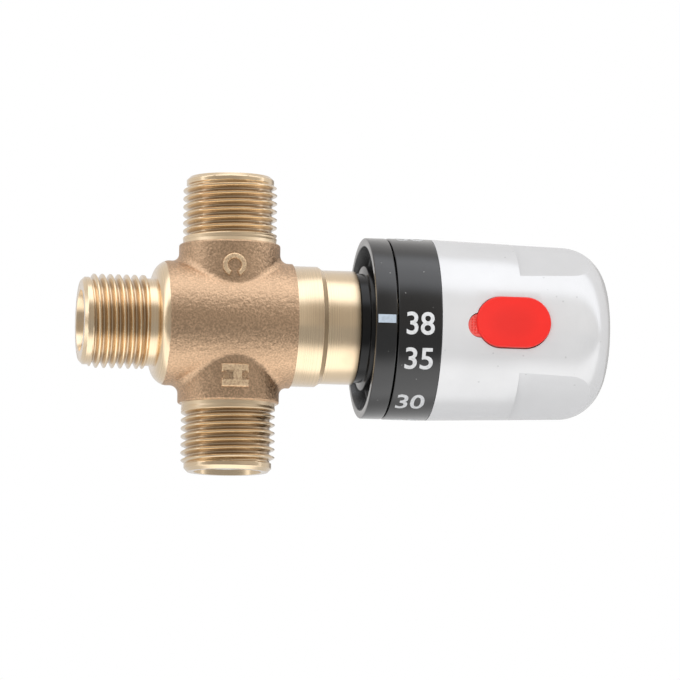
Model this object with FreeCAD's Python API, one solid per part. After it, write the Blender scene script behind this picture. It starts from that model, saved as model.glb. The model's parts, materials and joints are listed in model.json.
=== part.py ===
"""Thermostatic mixing valve: a brass cross body with a wax cartridge and a temperature knob.

Millimetres. +X runs along the knob axis from the mixed-water outlet towards the knob, +Z points
to the cold inlet and -Z to the hot inlet. The origin is the centre of the outlet's end face.
The knob is drawn at 38 degrees C. Angles round the knob axis are counted from -Y, where the
safety button lies, in the direction that makes the water hotter (right-handed about +X).
"""
import FreeCAD, Part
import math
import os

Vector = FreeCAD.Vector
ORIGIN = Vector(0, 0, 0)
ALONG_X = Vector(1, 0, 0)
ALONG_Y = Vector(0, 1, 0)
ALONG_Z = Vector(0, 0, 1)

# ---- Pipe ends: G 1/2 male threads, drawn at their major radius -------------------------------
THREAD_R = 10.4775
SEAL_FACE_R = 9.0             # outer radius of the end face that a flat washer seals on
PILOT_R = 9.75                # plain nose that leads a nut onto the thread
PILOT = 1.9
PILOT_EDGE = PILOT_R - SEAL_FACE_R
OUTLET_BORE_R = 6.85

# ---- Valve body, from the outlet towards the knob ---------------------------------------------
OUTLET_THREAD = 14.1
RELIEF = 2.1
RELIEF_R = 9.75
RUN_OUT = 0.5                 # length of the slopes where a thread starts and ends
SHOULDER = 3.1
BARREL = 27.8
BARREL_R = 13.9
COLLAR = 5.7
COLLAR_R = 13.45
COLLAR_BEVEL = 1.1
NECK = 7.6
NECK_R = 12.7
NECK_EDGE = 0.3
CAVITY_R = 10.6               # bore that holds the cartridge
NECK_BORE_R = 11.2            # threaded bore for the cartridge's bonnet

# ---- Inlet branches ---------------------------------------------------------------------------
PORT_OFFSET = 14.1            # from the start of the barrel to the inlets' axis
PORT_REACH = 33.0
BOSS_R = 11.3
BOSS_REACH = 17.8
BOSS_EDGE = 0.45
PORT_BAND = 1.3               # plain band between casting and thread
PORT_BAND_R = 10.4
CAST_FILLET = 1.8
POCKET_R = 7.5                # pocket for the check valve
POCKET_DEPTH = 12.2
PASSAGE_R = 6.0
PASSAGE_DEPTH = 5.8           # below the pocket
SLOT_LENGTH = 11.0            # water slot between passage and cavity, across the body

# ---- Cartridge --------------------------------------------------------------------------------
SLIP = 0.05                   # radial clearance of parts that slide or turn in each other
LOOSE = 0.1                   # clearance of parts that are only dropped in
WINDOW = 4.4                  # axial width of a ring of water windows
MID_LAND = 3.6                # land between the hot and the cold windows
WINDOW_COUNT = 4
WINDOW_ANGLE = 66.0
CHANNEL = 0.9                 # depth of the ring channel outside the windows
HOUSING_BORE_R = 8.6
HOT_SEAT_R = 6.6              # bore through the hot seat
FLOOR = 1.2
OUTLET_EYE_R = 5.0            # hole in the housing's floor
SNAP_LAP = 2.4                # overlap of housing and bonnet
SEAL_R = 0.7                  # half the thickness of the big O-rings
SMALL_SEAL_R = 0.5            # half the thickness of the small O-rings
SEAL_SLACK = 0.02             # keeps a drawn O-ring just off its groove
GROOVE_ROOM = 1.2             # width of a groove for each width of its O-ring
BONNET_FRONT = 11.0           # from the housing to the neck's thread
BONNET_THREAD = 7.5
SPIGOT_R = 9.6                # serrated end that holds the index ring still
SPIGOT_TEETH = 18
SPIGOT_OUT = 2.1              # spigot beyond the index ring
TOOTH = 0.6
NUT_BORE_R = 6.35
COLLAR_BORE_R = 5.6
COLLAR_BORE = 3.6
KEY_WIDTH = 2.0
KEY_HEIGHT = 0.9
NUT_TRAVEL_ROOM = 0.6         # free space behind the adjusting nut

# ---- Thermostatic element and shuttle ---------------------------------------------------------
HOT_GAP = 0.62                # opening of the hot seat at 38 degrees C
COLD_GAP = 0.48               # opening of the cold seat at 38 degrees C
SHUTTLE_WALL = 1.65
ELEMENT_R = 4.5
ELEMENT_LENGTH = 12.0
ELEMENT_EDGE = 1.2            # chamfer round the tip
ELEMENT_OFFSET = 0.8          # flange beyond the middle land
ELEMENT_FLANGE_R = 5.7
ELEMENT_FLANGE = 1.5
GUIDE_R = 3.0
GUIDE = 3.0
PISTON_R = 1.0
PISTON_REACH = 2.0            # piston outside the guide
HUB_WALL = 1.0
HUB_LENGTH = 6.0
ARM_WIDTH = 3.0
ARM_THICKNESS = 2.0
RETURN_SPRING_R = 5.9
RETURN_WIRE = 0.9
RETURN_TURNS = 5.0

# ---- Adjusting nut, overload spring, spindle --------------------------------------------------
NUT_LIP = 0.6
NUT_LIP_R = 4.2
CUP_R = 4.9
CUP = 5.2                     # room for the overload cap and spring
CAP_THICKNESS = 1.0
NUT_THREAD = 4.6
SCREW_R = 3.0                 # spindle's drive screw
OVERLOAD_SPRING_R = 3.9
OVERLOAD_WIRE = 0.9
OVERLOAD_TURNS = 3.0
SPINDLE_R = 4.0
SPINDLE_COLLAR = 2.0
SPINDLE_LENGTH_OUT = 25.5     # spindle beyond the bonnet
SPINDLE_TEETH = 20
SPINDLE_TOOTH = 0.35
FIRST_SPINDLE_SEAL = 3.0      # from the spindle's collar
SPINDLE_SEAL_PITCH = 3.0
CLIP_GROOVE = 0.5             # depth of the spindle clip's groove
CLIP_THICKNESS = 0.8
CLIP_WIDTH = 1.5

# ---- Check valves -----------------------------------------------------------------------------
CHECK_LENGTH = 10.2
CHECK_WALL = 1.2
CHECK_SEAT = 1.4
CHECK_SEAT_R = 4.5
GUIDE_PLATE = 1.5
GUIDE_WALL = 1.0
SPOKE_WIDTH = 1.4
POPPET_R = 5.3
POPPET_THICKNESS = 1.4
NOSE = 1.2                    # height of the poppet's cone
NOSE_TIP_R = 1.2
NOSE_CLEAR = 0.4              # from the cone's foot to the edge of the seat
STEM_R = 1.2
STEM_OUT = 1.6                # stem beyond the guide plate when closed
CHECK_SPRING_R = 3.0
CHECK_WIRE = 0.5
CHECK_TURNS = 4.0
STRAINER = 0.8
STRAINER_RIM = 1.1
MESH = 0.3

# ---- Index ring and its clip ------------------------------------------------------------------
LIP = 1.9
LIP_R = 12.2
INDEX_STEP = 0.05             # how far the index ring lies below the dial ring
INDEX_RIM = 1.8
INDEX_WIDTH = 4.7
INDEX_HUB_R = 13.9
INDEX_WEB = 1.5
STOP_WIDTH = 2.4              # across the stop segment
STOP_HEIGHT = 4.0
CATCH_ANGLE = 12.0            # start of the stop segment, which the button's lug meets at 38 C
LIMIT_MARGIN = 0.7            # angle left at each end of the knob's travel
COLDER_TRAVEL = 126.0         # from 38 C down to 20 C
HOTTER_TRAVEL = 84.0          # from 38 C up to 50 C
LIMIT_RIB_ANGLE = 20.0

# ---- Dial ring and handle ---------------------------------------------------------------------
RUN_GAP = 0.3                 # gap between still and turning rings
DIAL_WIDTH = 9.8
DIAL_R = 20.25
DIAL_THICKNESS = 2.3
DIAL_EDGE = 0.2
SKIRT_WALL = 1.4
HANDLE_LENGTH = 40.75         # from the dial ring to the end
HANDLE_TAPER = 0.0314         # fall of the radius for each millimetre
END_CORNER_R = 9.8
END_DOME_R = 54.0
HANDLE_WALL = 4.25            # wall of the handle at the dial ring
HANDLE_HUB_R = 7.0
HUB_BACK = 1.5                # hub's reach into the dial ring
HUB_FLOOR = 3.0
BORE_DEPTH = 28.0             # hollow of the handle before it closes in
CLOSING = 5.7                 # length and depth of the sloping inner end
FLAT_COUNT = 3
FLAT_DEPTH = 2.65             # cut of each grip flat below the dial ring
FLAT_START = 18.05            # from the dial ring
RIB_WIDTH = 1.6
SCREW_ACCESS_R = 4.6
END_CAP_R = 8.7
END_CAP_SEAT = 2.9            # depth of the cap's recess at the rim
CAP_PLUG = 5.0

# ---- Handle screw -----------------------------------------------------------------------------
M4_R = 1.95
M4_HEAD_R = 3.6
M4_HEAD = 2.4
M4_LENGTH = 11.0
WASHER = 0.7
WASHER_R = 4.4
HEX_KEY = 2.9                 # across the corners of the socket
HEX_SIDES = 6

# ---- Safety button ----------------------------------------------------------------------------
BUTTON_LENGTH = 16.5
BUTTON_WIDTH = 11.1
BUTTON_X = 16.0               # from the dial ring to the middle of the button
BUTTON_PROUD = 0.75
BUTTON_CROWN_R = 42.0
BUTTON_EDGE = 0.45
BUTTON_GAP = 0.25             # between button and window
BUTTON_TRAVEL = 1.8
TONGUE_R = 2.55
TONGUE_X = 7.45               # from the middle of the button to the middle of the tongue
TONGUE_SHIFT = 0.8            # of the tongue towards the hot side
TONGUE_DROP = 1.1             # below the top of the button
FLANGE = 1.2
FLANGE_LEDGE = 1.1            # ledge that keeps the button in the handle
LUG_WIDTH = 3.6
LUG_THICKNESS = 1.5
LUG_CLEAR = 0.3               # below the stop segment
BUTTON_SPRING_R = 2.5
BUTTON_WIRE = 0.5
BUTTON_TURNS = 5.0
SPRING_BOSS_R = 3.4           # boss that the button's spring stands on and that ends its travel
SPRING_POCKET = 3.0

SPRING_STEPS = 12             # straight steps in each turn of a spring
PAST = 1.0                    # how far a cutting tool runs past the material
LAP = 0.3                     # how far a rib or arm runs into the wall that holds it

# ---- Stations along the knob axis -------------------------------------------------------------
X_SHOULDER = OUTLET_THREAD + RELIEF
X_BARREL = X_SHOULDER + SHOULDER
X_COLLAR = X_BARREL + BARREL
X_BEVEL = X_COLLAR + COLLAR
X_NECK = X_BEVEL + COLLAR_BEVEL
X_NECK_END = X_NECK + NECK
PORT_X = X_BARREL + PORT_OFFSET
HOT_SEAT_X = PORT_X - MID_LAND / 2 - WINDOW
COLD_SEAT_X = PORT_X + MID_LAND / 2 + WINDOW
X_BONNET = COLD_SEAT_X + SNAP_LAP
X_BONNET_THREAD = X_BONNET + BONNET_FRONT
X_SPIGOT = X_BONNET_THREAD + BONNET_THREAD
X_INDEX = X_NECK_END + LIP
X_INDEX_BACK = X_INDEX + INDEX_WIDTH
X_SPIGOT_END = X_INDEX_BACK + SPIGOT_OUT
X_DIAL = X_INDEX_BACK + RUN_GAP
X_HANDLE = X_DIAL + DIAL_WIDTH
X_HANDLE_END = X_HANDLE + HANDLE_LENGTH
X_SKIRT = X_DIAL + RUN_GAP
X_HUB = X_HANDLE - HUB_BACK
X_SPINDLE_END = X_SPIGOT_END + SPINDLE_LENGTH_OUT
X_HUB_FLOOR = X_SPINDLE_END + RUN_GAP
X_SCREW_SEAT = X_HUB_FLOOR + HUB_FLOOR
X_BUTTON = X_HANDLE + BUTTON_X
X_TONGUE = X_BUTTON - TONGUE_X

X_SHUTTLE = HOT_SEAT_X + HOT_GAP
X_SHUTTLE_END = COLD_SEAT_X - COLD_GAP
X_ELEMENT_FLANGE = PORT_X + MID_LAND / 2 + ELEMENT_OFFSET
X_GUIDE = X_ELEMENT_FLANGE + ELEMENT_FLANGE
X_GUIDE_END = X_GUIDE + GUIDE
X_CAP = X_GUIDE_END + PISTON_REACH
X_NUT = X_CAP - NUT_LIP
X_CUP_END = X_CAP + CUP
X_NUT_END = X_CUP_END + NUT_THREAD
X_COLLAR_BORE = X_NUT_END + NUT_TRAVEL_ROOM
X_COLLAR_STOP = X_COLLAR_BORE + COLLAR_BORE
HOT_SEAL_X = (X_BARREL + HOT_SEAT_X) / 2
DRY_SEAL_X = X_BONNET + BONNET_FRONT / 2
SPINDLE_SEALS = [X_COLLAR_STOP + FIRST_SPINDLE_SEAL + i * SPINDLE_SEAL_PITCH for i in range(2)]

# ---- Radii and heights that follow from others ------------------------------------------------
HOUSING_R = CAVITY_R - LOOSE
BAND_END = BOSS_REACH + PORT_BAND
POCKET_FLOOR = PORT_REACH - POCKET_DEPTH
PASSAGE_FLOOR = POCKET_FLOOR - PASSAGE_DEPTH
INDEX_R = DIAL_R - INDEX_STEP
SKIRT_R = DIAL_R - DIAL_THICKNESS - SLIP
STOP_OUTER_R = SKIRT_R - SKIRT_WALL - RUN_GAP
STOP_INNER_R = STOP_OUTER_R - STOP_WIDTH
HANDLE_BORE_R = DIAL_R - HANDLE_WALL
BUTTON_TOP = DIAL_R - HANDLE_TAPER * BUTTON_X + BUTTON_PROUD
FLANGE_TOP = math.sqrt(HANDLE_BORE_R ** 2 - (BUTTON_WIDTH / 2 + FLANGE_LEDGE) ** 2) - RUN_GAP
SPRING_SEAT = FLANGE_TOP - FLANGE - BUTTON_TRAVEL - LOOSE
LUG_TOP = math.sqrt((STOP_INNER_R - LUG_CLEAR) ** 2 - (LUG_WIDTH / 2) ** 2)


# ---- Small tools ------------------------------------------------------------------------------
def outline(start, *steps):
    """Closed wire in the XY plane. A step is a corner, or a pair: a point on an arc and its end."""
    edges = []
    here = start
    for step in steps + (start,):
        if isinstance(step[0], tuple):
            middle, end = step
            arc = Part.Arc(Vector(*here), Vector(*middle), Vector(*end))
            edges.append(arc.toShape())
        else:
            end = step
            edges.append(Part.makeLine(Vector(*here), Vector(*end)))
        here = end
    return Part.Wire(edges)


def turned(wire):
    """Solid of revolution about the knob axis from a profile of (x, radius) points."""
    return Part.Face(wire).revolve(ORIGIN, ALONG_X, 360)


def rod(start, end, radius):
    return Part.makeCylinder(radius, end - start, Vector(start, 0, 0), ALONG_X)


def pipe(start, end, outer, inner):
    return rod(start, end, outer).cut(rod(start - PAST, end + PAST, inner))


def seal_ring(station, outer, thickness):
    """O-ring round the knob axis, given by its outer radius and half its thickness."""
    return Part.makeTorus(outer - thickness, thickness, Vector(station, 0, 0), ALONG_X)


def turned_copy(shape, angle):
    """Copy turned about the knob axis, hotter-wise."""
    copy = shape.copy()
    copy.rotate(ORIGIN, ALONG_X, angle)
    return copy


def sector(start, end, inner, outer, first, last):
    """Piece of a ring between two angles."""
    corners = outline((start, -inner), (end, -inner), (end, -outer), (start, -outer))
    face = turned_copy(Part.Face(corners), first)
    return face.revolve(ORIGIN, ALONG_X, last - first)


def serrated_bar(start, end, tip, depth, teeth):
    """Bar with pointed serrations, for a fit that can't turn."""
    corners = []
    for i in range(2 * teeth):
        radius = tip if i % 2 == 0 else tip - depth
        angle = math.pi * i / teeth
        corners.append(Vector(start, radius * math.cos(angle), radius * math.sin(angle)))
    face = Part.Face(Part.makePolygon(corners + corners[:1]))
    return face.extrude(Vector(end - start, 0, 0))


def coil_spring(length, radius, wire, turns):
    """Square-wire compression spring along +X from the origin, in straight steps."""
    steps = int(round(turns * SPRING_STEPS))
    rings = []
    for i in range(steps + 1):
        angle = 2 * math.pi * i / SPRING_STEPS
        middle = wire / 2 + (length - wire) * i / steps
        rings.append([
            Vector(middle + across * wire / 2,
                   (radius + out * wire / 2) * math.cos(angle),
                   (radius + out * wire / 2) * math.sin(angle))
            for across, out in ((-1, -1), (1, -1), (1, 1), (-1, 1))])
    faces = [Part.Face(Part.makePolygon(ring + ring[:1])) for ring in (rings[0], rings[-1])]
    for near, far in zip(rings, rings[1:]):
        for side in range(4):
            after = (side + 1) % 4
            for corners in ((near[side], near[after], far[after]), (near[side], far[after], far[side])):
                faces.append(Part.Face(Part.makePolygon(list(corners) + [corners[0]])))
    spring = Part.Solid(Part.Shell(faces))
    if spring.Volume < 0:
        spring.reverse()
    return spring


def up_port(shape):
    """Moves a shape drawn along +X from the body's centre to the cold inlet's axis."""
    placed = shape.copy()
    placed.rotate(ORIGIN, ALONG_Y, -90)
    placed.translate(Vector(PORT_X, 0, 0))
    return placed


def obround(length, width, start, end, station):
    """Slab with round ends, long along X, between two heights on the button's side."""
    radius = width / 2
    half = length / 2 - radius
    slab = Part.makeBox(2 * half, end - start, width, Vector(station - half, -end, -radius))
    for side in (-half, half):
        slab = slab.fuse(Part.makeCylinder(radius, end - start, Vector(station + side, -end, 0), ALONG_Y))
    return slab.removeSplitter()


def peg(station, start, end, radius):
    """Cylinder pointing out of the button's side between two heights."""
    return Part.makeCylinder(radius, end - start, Vector(station, -end, 0), ALONG_Y)


# ---- Valve body -------------------------------------------------------------------------------
def body_run():
    """Outside of the body along the knob axis."""
    bulge = math.sqrt(0.5)
    shoulder = (X_BARREL - SHOULDER * bulge, RELIEF_R + (BARREL_R - RELIEF_R) * bulge)
    return turned(outline(
        (0, 0), (0, SEAL_FACE_R), (PILOT_EDGE, PILOT_R), (PILOT, PILOT_R),
        (PILOT + RUN_OUT, THREAD_R), (OUTLET_THREAD, THREAD_R),
        (OUTLET_THREAD + RUN_OUT, RELIEF_R), (X_SHOULDER, RELIEF_R),
        (shoulder, (X_BARREL, BARREL_R)), (X_COLLAR, BARREL_R), (X_COLLAR, COLLAR_R),
        (X_BEVEL, COLLAR_R), (X_NECK, NECK_R), (X_NECK_END - NECK_EDGE, NECK_R),
        (X_NECK_END, NECK_R - NECK_EDGE), (X_NECK_END, 0)))


def branch():
    """Outside of one inlet branch, drawn along +X from the body's centre."""
    bulge = BOSS_EDGE * math.sqrt(0.5)
    corner = (BOSS_REACH - BOSS_EDGE + bulge, BOSS_R - BOSS_EDGE + bulge)
    return turned(outline(
        (0, 0), (0, BOSS_R), (BOSS_REACH - BOSS_EDGE, BOSS_R),
        (corner, (BOSS_REACH, BOSS_R - BOSS_EDGE)), (BOSS_REACH, PORT_BAND_R),
        (BAND_END - RUN_OUT, PORT_BAND_R), (BAND_END, THREAD_R),
        (PORT_REACH - PILOT - RUN_OUT, THREAD_R), (PORT_REACH - PILOT, PILOT_R),
        (PORT_REACH - PILOT_EDGE, PILOT_R), (PORT_REACH, SEAL_FACE_R), (PORT_REACH, 0)))


def on_branch_seam(edge):
    """True for the edges where a branch grows out of the barrel."""
    points = [edge.valueAt(edge.FirstParameter + share * (edge.LastParameter - edge.FirstParameter))
              for share in (0.1, 0.5, 0.9)]
    return all(abs(math.hypot(p.y, p.z) - BARREL_R) < 0.01
               and abs(math.hypot(p.x - PORT_X, p.y) - BOSS_R) < 0.01 for p in points)


def water_slot(station):
    """Slot from the end of a passage down into the cartridge's cavity."""
    half = WINDOW / 2
    reach = SLOT_LENGTH / 2 - half
    depth = PASSAGE_FLOOR + PAST
    slot = Part.makeBox(WINDOW, 2 * reach, depth, Vector(station - half, -reach, 0))
    for side in (-reach, reach):
        slot = slot.fuse(Part.makeCylinder(half, depth, Vector(station, side, 0), ALONG_Z))
    return slot


def valve_body():
    cold = up_port(branch())
    hot = turned_copy(cold, 180)
    body = body_run().fuse([cold, hot]).removeSplitter()
    seams = [edge for edge in body.Edges if on_branch_seam(edge)]
    body = body.makeFillet(CAST_FILLET, seams)
    inlet = up_port(rod(PASSAGE_FLOOR, POCKET_FLOOR + PAST, PASSAGE_R).fuse(
        rod(POCKET_FLOOR, PORT_REACH + PAST, POCKET_R)))
    cold_way = inlet.fuse(water_slot((COLD_SEAT_X + PORT_X + MID_LAND / 2) / 2))
    hot_way = turned_copy(inlet.fuse(water_slot((HOT_SEAT_X + PORT_X - MID_LAND / 2) / 2)), 180)
    return body.cut([
        rod(-PAST, X_BARREL + PAST, OUTLET_BORE_R),
        rod(X_BARREL, X_NECK_END + PAST, CAVITY_R),
        rod(X_BONNET_THREAD, X_NECK_END + PAST, NECK_BORE_R),
        cold_way, hot_way])


# ---- Check valves and strainers ---------------------------------------------------------------
def check_body():
    outer = POCKET_R - SLIP
    inner = outer - CHECK_WALL
    end = POCKET_FLOOR + CHECK_LENGTH
    shell = pipe(POCKET_FLOOR, end, outer, inner)
    seat = pipe(end - CHECK_SEAT, end, outer, CHECK_SEAT_R)
    guide = pipe(POCKET_FLOOR, POCKET_FLOOR + GUIDE_PLATE, STEM_R + SLIP + GUIDE_WALL, STEM_R + SLIP)
    spoke = Part.makeBox(GUIDE_PLATE, 2 * (inner + LAP), SPOKE_WIDTH,
                         Vector(POCKET_FLOOR, -inner - LAP, -SPOKE_WIDTH / 2))
    spokes = spoke.fuse(turned_copy(spoke, 90)).cut(rod(0, PORT_REACH, STEM_R + SLIP))
    return up_port(shell.fuse([seat, guide, spokes]).removeSplitter())


def check_poppet():
    closed = POCKET_FLOOR + CHECK_LENGTH - CHECK_SEAT - LOOSE
    disc = rod(closed - POPPET_THICKNESS, closed, POPPET_R)
    nose = Part.makeCone(CHECK_SEAT_R - NOSE_CLEAR, NOSE_TIP_R, NOSE, Vector(closed, 0, 0), ALONG_X)
    stem = rod(POCKET_FLOOR - STEM_OUT, closed, STEM_R)
    return up_port(disc.fuse([nose, stem]).removeSplitter())


def check_spring():
    start = POCKET_FLOOR + GUIDE_PLATE
    end = POCKET_FLOOR + CHECK_LENGTH - CHECK_SEAT - LOOSE - POPPET_THICKNESS
    spring = coil_spring(end - start, CHECK_SPRING_R, CHECK_WIRE, CHECK_TURNS)
    spring.translate(Vector(start, 0, 0))
    return up_port(spring)


def strainer():
    start = POCKET_FLOOR + CHECK_LENGTH
    rim = pipe(start, start + STRAINER, POCKET_R - SLIP, POCKET_R - SLIP - STRAINER_RIM)
    mesh = rod(start + MESH, start + 2 * MESH, POCKET_R - SLIP - STRAINER_RIM / 2)
    return up_port(rim.fuse(mesh).removeSplitter())


# ---- Cartridge --------------------------------------------------------------------------------
def seal_groove(station, outer, thickness):
    """Cutting ring for the groove of an O-ring on an outer face."""
    reach = GROOVE_ROOM * thickness
    return pipe(station - reach, station + reach, outer + PAST, outer - 2 * thickness)


def windows(start):
    """Cutting sectors for one ring of water windows."""
    pitch = 360.0 / WINDOW_COUNT
    return [sector(start, start + WINDOW, HOUSING_BORE_R - PAST, HOUSING_R + PAST,
                   i * pitch - WINDOW_ANGLE / 2, i * pitch + WINDOW_ANGLE / 2)
            for i in range(WINDOW_COUNT)]


def cartridge_housing():
    start = X_BARREL + LOOSE
    body = rod(start, X_BONNET, HOUSING_R)
    body = body.cut([
        rod(start - PAST, X_BONNET, OUTLET_EYE_R),
        rod(start + FLOOR, X_BONNET, HOT_SEAT_R),
        rod(HOT_SEAT_X, X_BONNET + PAST, HOUSING_BORE_R)])
    channels = [pipe(edge, edge + WINDOW, HOUSING_R + PAST, HOUSING_R - CHANNEL)
                for edge in (HOT_SEAT_X, PORT_X + MID_LAND / 2)]
    grooves = [seal_groove(station, HOUSING_R, SEAL_R) for station in (HOT_SEAL_X, PORT_X)]
    openings = windows(HOT_SEAT_X) + windows(PORT_X + MID_LAND / 2)
    return body.cut(channels + grooves + openings)


def cartridge_bonnet():
    body = rod(COLD_SEAT_X, X_BONNET + PAST, HOUSING_BORE_R - SLIP).fuse([
        rod(X_BONNET, X_BONNET_THREAD, HOUSING_R),
        rod(X_BONNET_THREAD, X_SPIGOT, NECK_BORE_R - LOOSE),
        rod(X_SPIGOT - PAST, X_SPIGOT_END, SPIGOT_R - TOOTH),
        serrated_bar(X_SPIGOT - PAST, X_INDEX_BACK, SPIGOT_R, TOOTH, SPIGOT_TEETH)])
    keyways = Part.makeBox(X_COLLAR_BORE - COLD_SEAT_X + PAST, KEY_WIDTH + 2 * SLIP,
                           2 * (NUT_BORE_R + KEY_HEIGHT + SLIP),
                           Vector(COLD_SEAT_X - PAST, -KEY_WIDTH / 2 - SLIP,
                                  -NUT_BORE_R - KEY_HEIGHT - SLIP))
    clip_groove = pipe(X_INDEX_BACK + RUN_GAP, X_INDEX_BACK + RUN_GAP + CLIP_THICKNESS,
                       SPIGOT_R + PAST, SPIGOT_R - 2 * TOOTH)
    return body.cut([
        rod(COLD_SEAT_X - PAST, X_COLLAR_BORE, NUT_BORE_R), keyways,
        rod(X_COLLAR_BORE - PAST, X_COLLAR_STOP, COLLAR_BORE_R),
        rod(X_COLLAR_STOP - PAST, X_SPIGOT_END + PAST, SPINDLE_R + SLIP),
        seal_groove(DRY_SEAL_X, HOUSING_R, SEAL_R), clip_groove])


def cartridge_o_rings():
    """The three big O-rings: outlet to hot, hot to cold, and cold to the dry neck."""
    return Part.makeCompound([seal_ring(station, CAVITY_R - SEAL_SLACK, SEAL_R - SEAL_SLACK)
                              for station in (HOT_SEAL_X, PORT_X, DRY_SEAL_X)])


def shuttle():
    outer = HOUSING_BORE_R - SLIP
    inner = outer - SHUTTLE_WALL
    arm_end = X_ELEMENT_FLANGE - HUB_LENGTH + ARM_THICKNESS
    sleeve = pipe(X_SHUTTLE, X_SHUTTLE_END, outer, inner)
    hub = pipe(X_ELEMENT_FLANGE - HUB_LENGTH, X_ELEMENT_FLANGE, ELEMENT_R + SLIP + HUB_WALL,
               ELEMENT_R + SLIP)
    arm = Part.makeBox(ARM_THICKNESS, 2 * (inner + LAP), ARM_WIDTH,
                       Vector(arm_end - ARM_THICKNESS, -inner - LAP, -ARM_WIDTH / 2))
    arms = arm.fuse(turned_copy(arm, 90)).cut(rod(X_SHUTTLE, X_SHUTTLE_END, ELEMENT_R + SLIP))
    groove = seal_groove(PORT_X, outer, SMALL_SEAL_R)
    return sleeve.cut(groove).fuse([hub, arms]).removeSplitter()


def shuttle_o_ring():
    return seal_ring(PORT_X, HOUSING_BORE_R - SEAL_SLACK, SMALL_SEAL_R - SEAL_SLACK)


def wax_element():
    start = X_ELEMENT_FLANGE - ELEMENT_LENGTH
    bulb = turned(outline(
        (start, 0), (start, ELEMENT_R - ELEMENT_EDGE), (start + ELEMENT_EDGE, ELEMENT_R),
        (X_ELEMENT_FLANGE, ELEMENT_R), (X_ELEMENT_FLANGE, ELEMENT_FLANGE_R),
        (X_GUIDE, ELEMENT_FLANGE_R), (X_GUIDE, GUIDE_R), (X_GUIDE_END, GUIDE_R), (X_GUIDE_END, 0)))
    return bulb.cut(rod(X_GUIDE, X_GUIDE_END + PAST, PISTON_R + SLIP))


def element_piston():
    return rod(X_GUIDE + LOOSE, X_CAP, PISTON_R)


def return_spring():
    start = X_BARREL + LOOSE + FLOOR
    end = X_ELEMENT_FLANGE - HUB_LENGTH
    spring = coil_spring(end - start, RETURN_SPRING_R, RETURN_WIRE, RETURN_TURNS)
    spring.translate(Vector(start, 0, 0))
    return spring


def overload_cap():
    return rod(X_CAP, X_CAP + CAP_THICKNESS, CUP_R - SLIP)


def overload_spring():
    start = X_CAP + CAP_THICKNESS
    spring = coil_spring(X_CUP_END - start, OVERLOAD_SPRING_R, OVERLOAD_WIRE, OVERLOAD_TURNS)
    spring.translate(Vector(start, 0, 0))
    return spring


def adjusting_nut():
    outer = NUT_BORE_R - SLIP
    keys = Part.makeBox(X_NUT_END - X_CUP_END, KEY_WIDTH, 2 * (NUT_BORE_R + KEY_HEIGHT - SLIP),
                        Vector(X_CUP_END, -KEY_WIDTH / 2, -NUT_BORE_R - KEY_HEIGHT + SLIP))
    return rod(X_NUT, X_NUT_END, outer).fuse(keys).cut([
        rod(X_NUT - PAST, X_CAP + PAST, NUT_LIP_R),
        rod(X_CAP, X_CUP_END, CUP_R),
        rod(X_CUP_END - PAST, X_NUT_END + PAST, SCREW_R + SLIP)])


def spindle():
    body = rod(X_CUP_END - LOOSE, X_COLLAR_STOP, SCREW_R).fuse([
        rod(X_COLLAR_STOP - LOOSE - SPINDLE_COLLAR, X_COLLAR_STOP - LOOSE, COLLAR_BORE_R - LOOSE),
        rod(X_COLLAR_STOP - 2 * LOOSE, X_HUB - PAST, SPINDLE_R),
        serrated_bar(X_HUB - PAST - LOOSE, X_SPINDLE_END, SPINDLE_R, SPINDLE_TOOTH, SPINDLE_TEETH)])
    grooves = [seal_groove(station, SPINDLE_R, SMALL_SEAL_R) for station in SPINDLE_SEALS]
    clip = pipe(X_SPIGOT_END + LOOSE, X_SPIGOT_END + LOOSE + CLIP_THICKNESS, SPINDLE_R + PAST,
                SPINDLE_R - CLIP_GROOVE)
    screw_hole = rod(X_SPINDLE_END - M4_LENGTH, X_SPINDLE_END + PAST, M4_R + SLIP)
    return body.cut(grooves + [clip, screw_hole])


def spindle_o_rings():
    return Part.makeCompound([seal_ring(station, SPINDLE_R + SEAL_SLACK, SMALL_SEAL_R - SEAL_SLACK)
                              for station in SPINDLE_SEALS])


def split_clip(start, inner, width):
    """Spring clip with an open gap at the top."""
    ring = pipe(start, start + CLIP_THICKNESS - LOOSE, inner + width, inner)
    gap = Part.makeBox(CLIP_THICKNESS + PAST, width, inner + width + PAST,
                       Vector(start - PAST / 2, -width / 2, 0))
    return ring.cut(gap)


def spindle_clip():
    return split_clip(X_SPIGOT_END + LOOSE, SPINDLE_R - CLIP_GROOVE + SLIP, CLIP_WIDTH)


# ---- Index ring -------------------------------------------------------------------------------
def stop_segment():
    """Raised arc that ends the knob's travel both ways and gives the catch at 38 degrees C."""
    rib_to_catch = HOTTER_TRAVEL + COLDER_TRAVEL + LIMIT_RIB_ANGLE + 2 * LIMIT_MARGIN
    return sector(X_INDEX_BACK - PAST, X_INDEX_BACK + STOP_HEIGHT, STOP_INNER_R, STOP_OUTER_R,
                  CATCH_ANGLE, CATCH_ANGLE + 360.0 - rib_to_catch)


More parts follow.
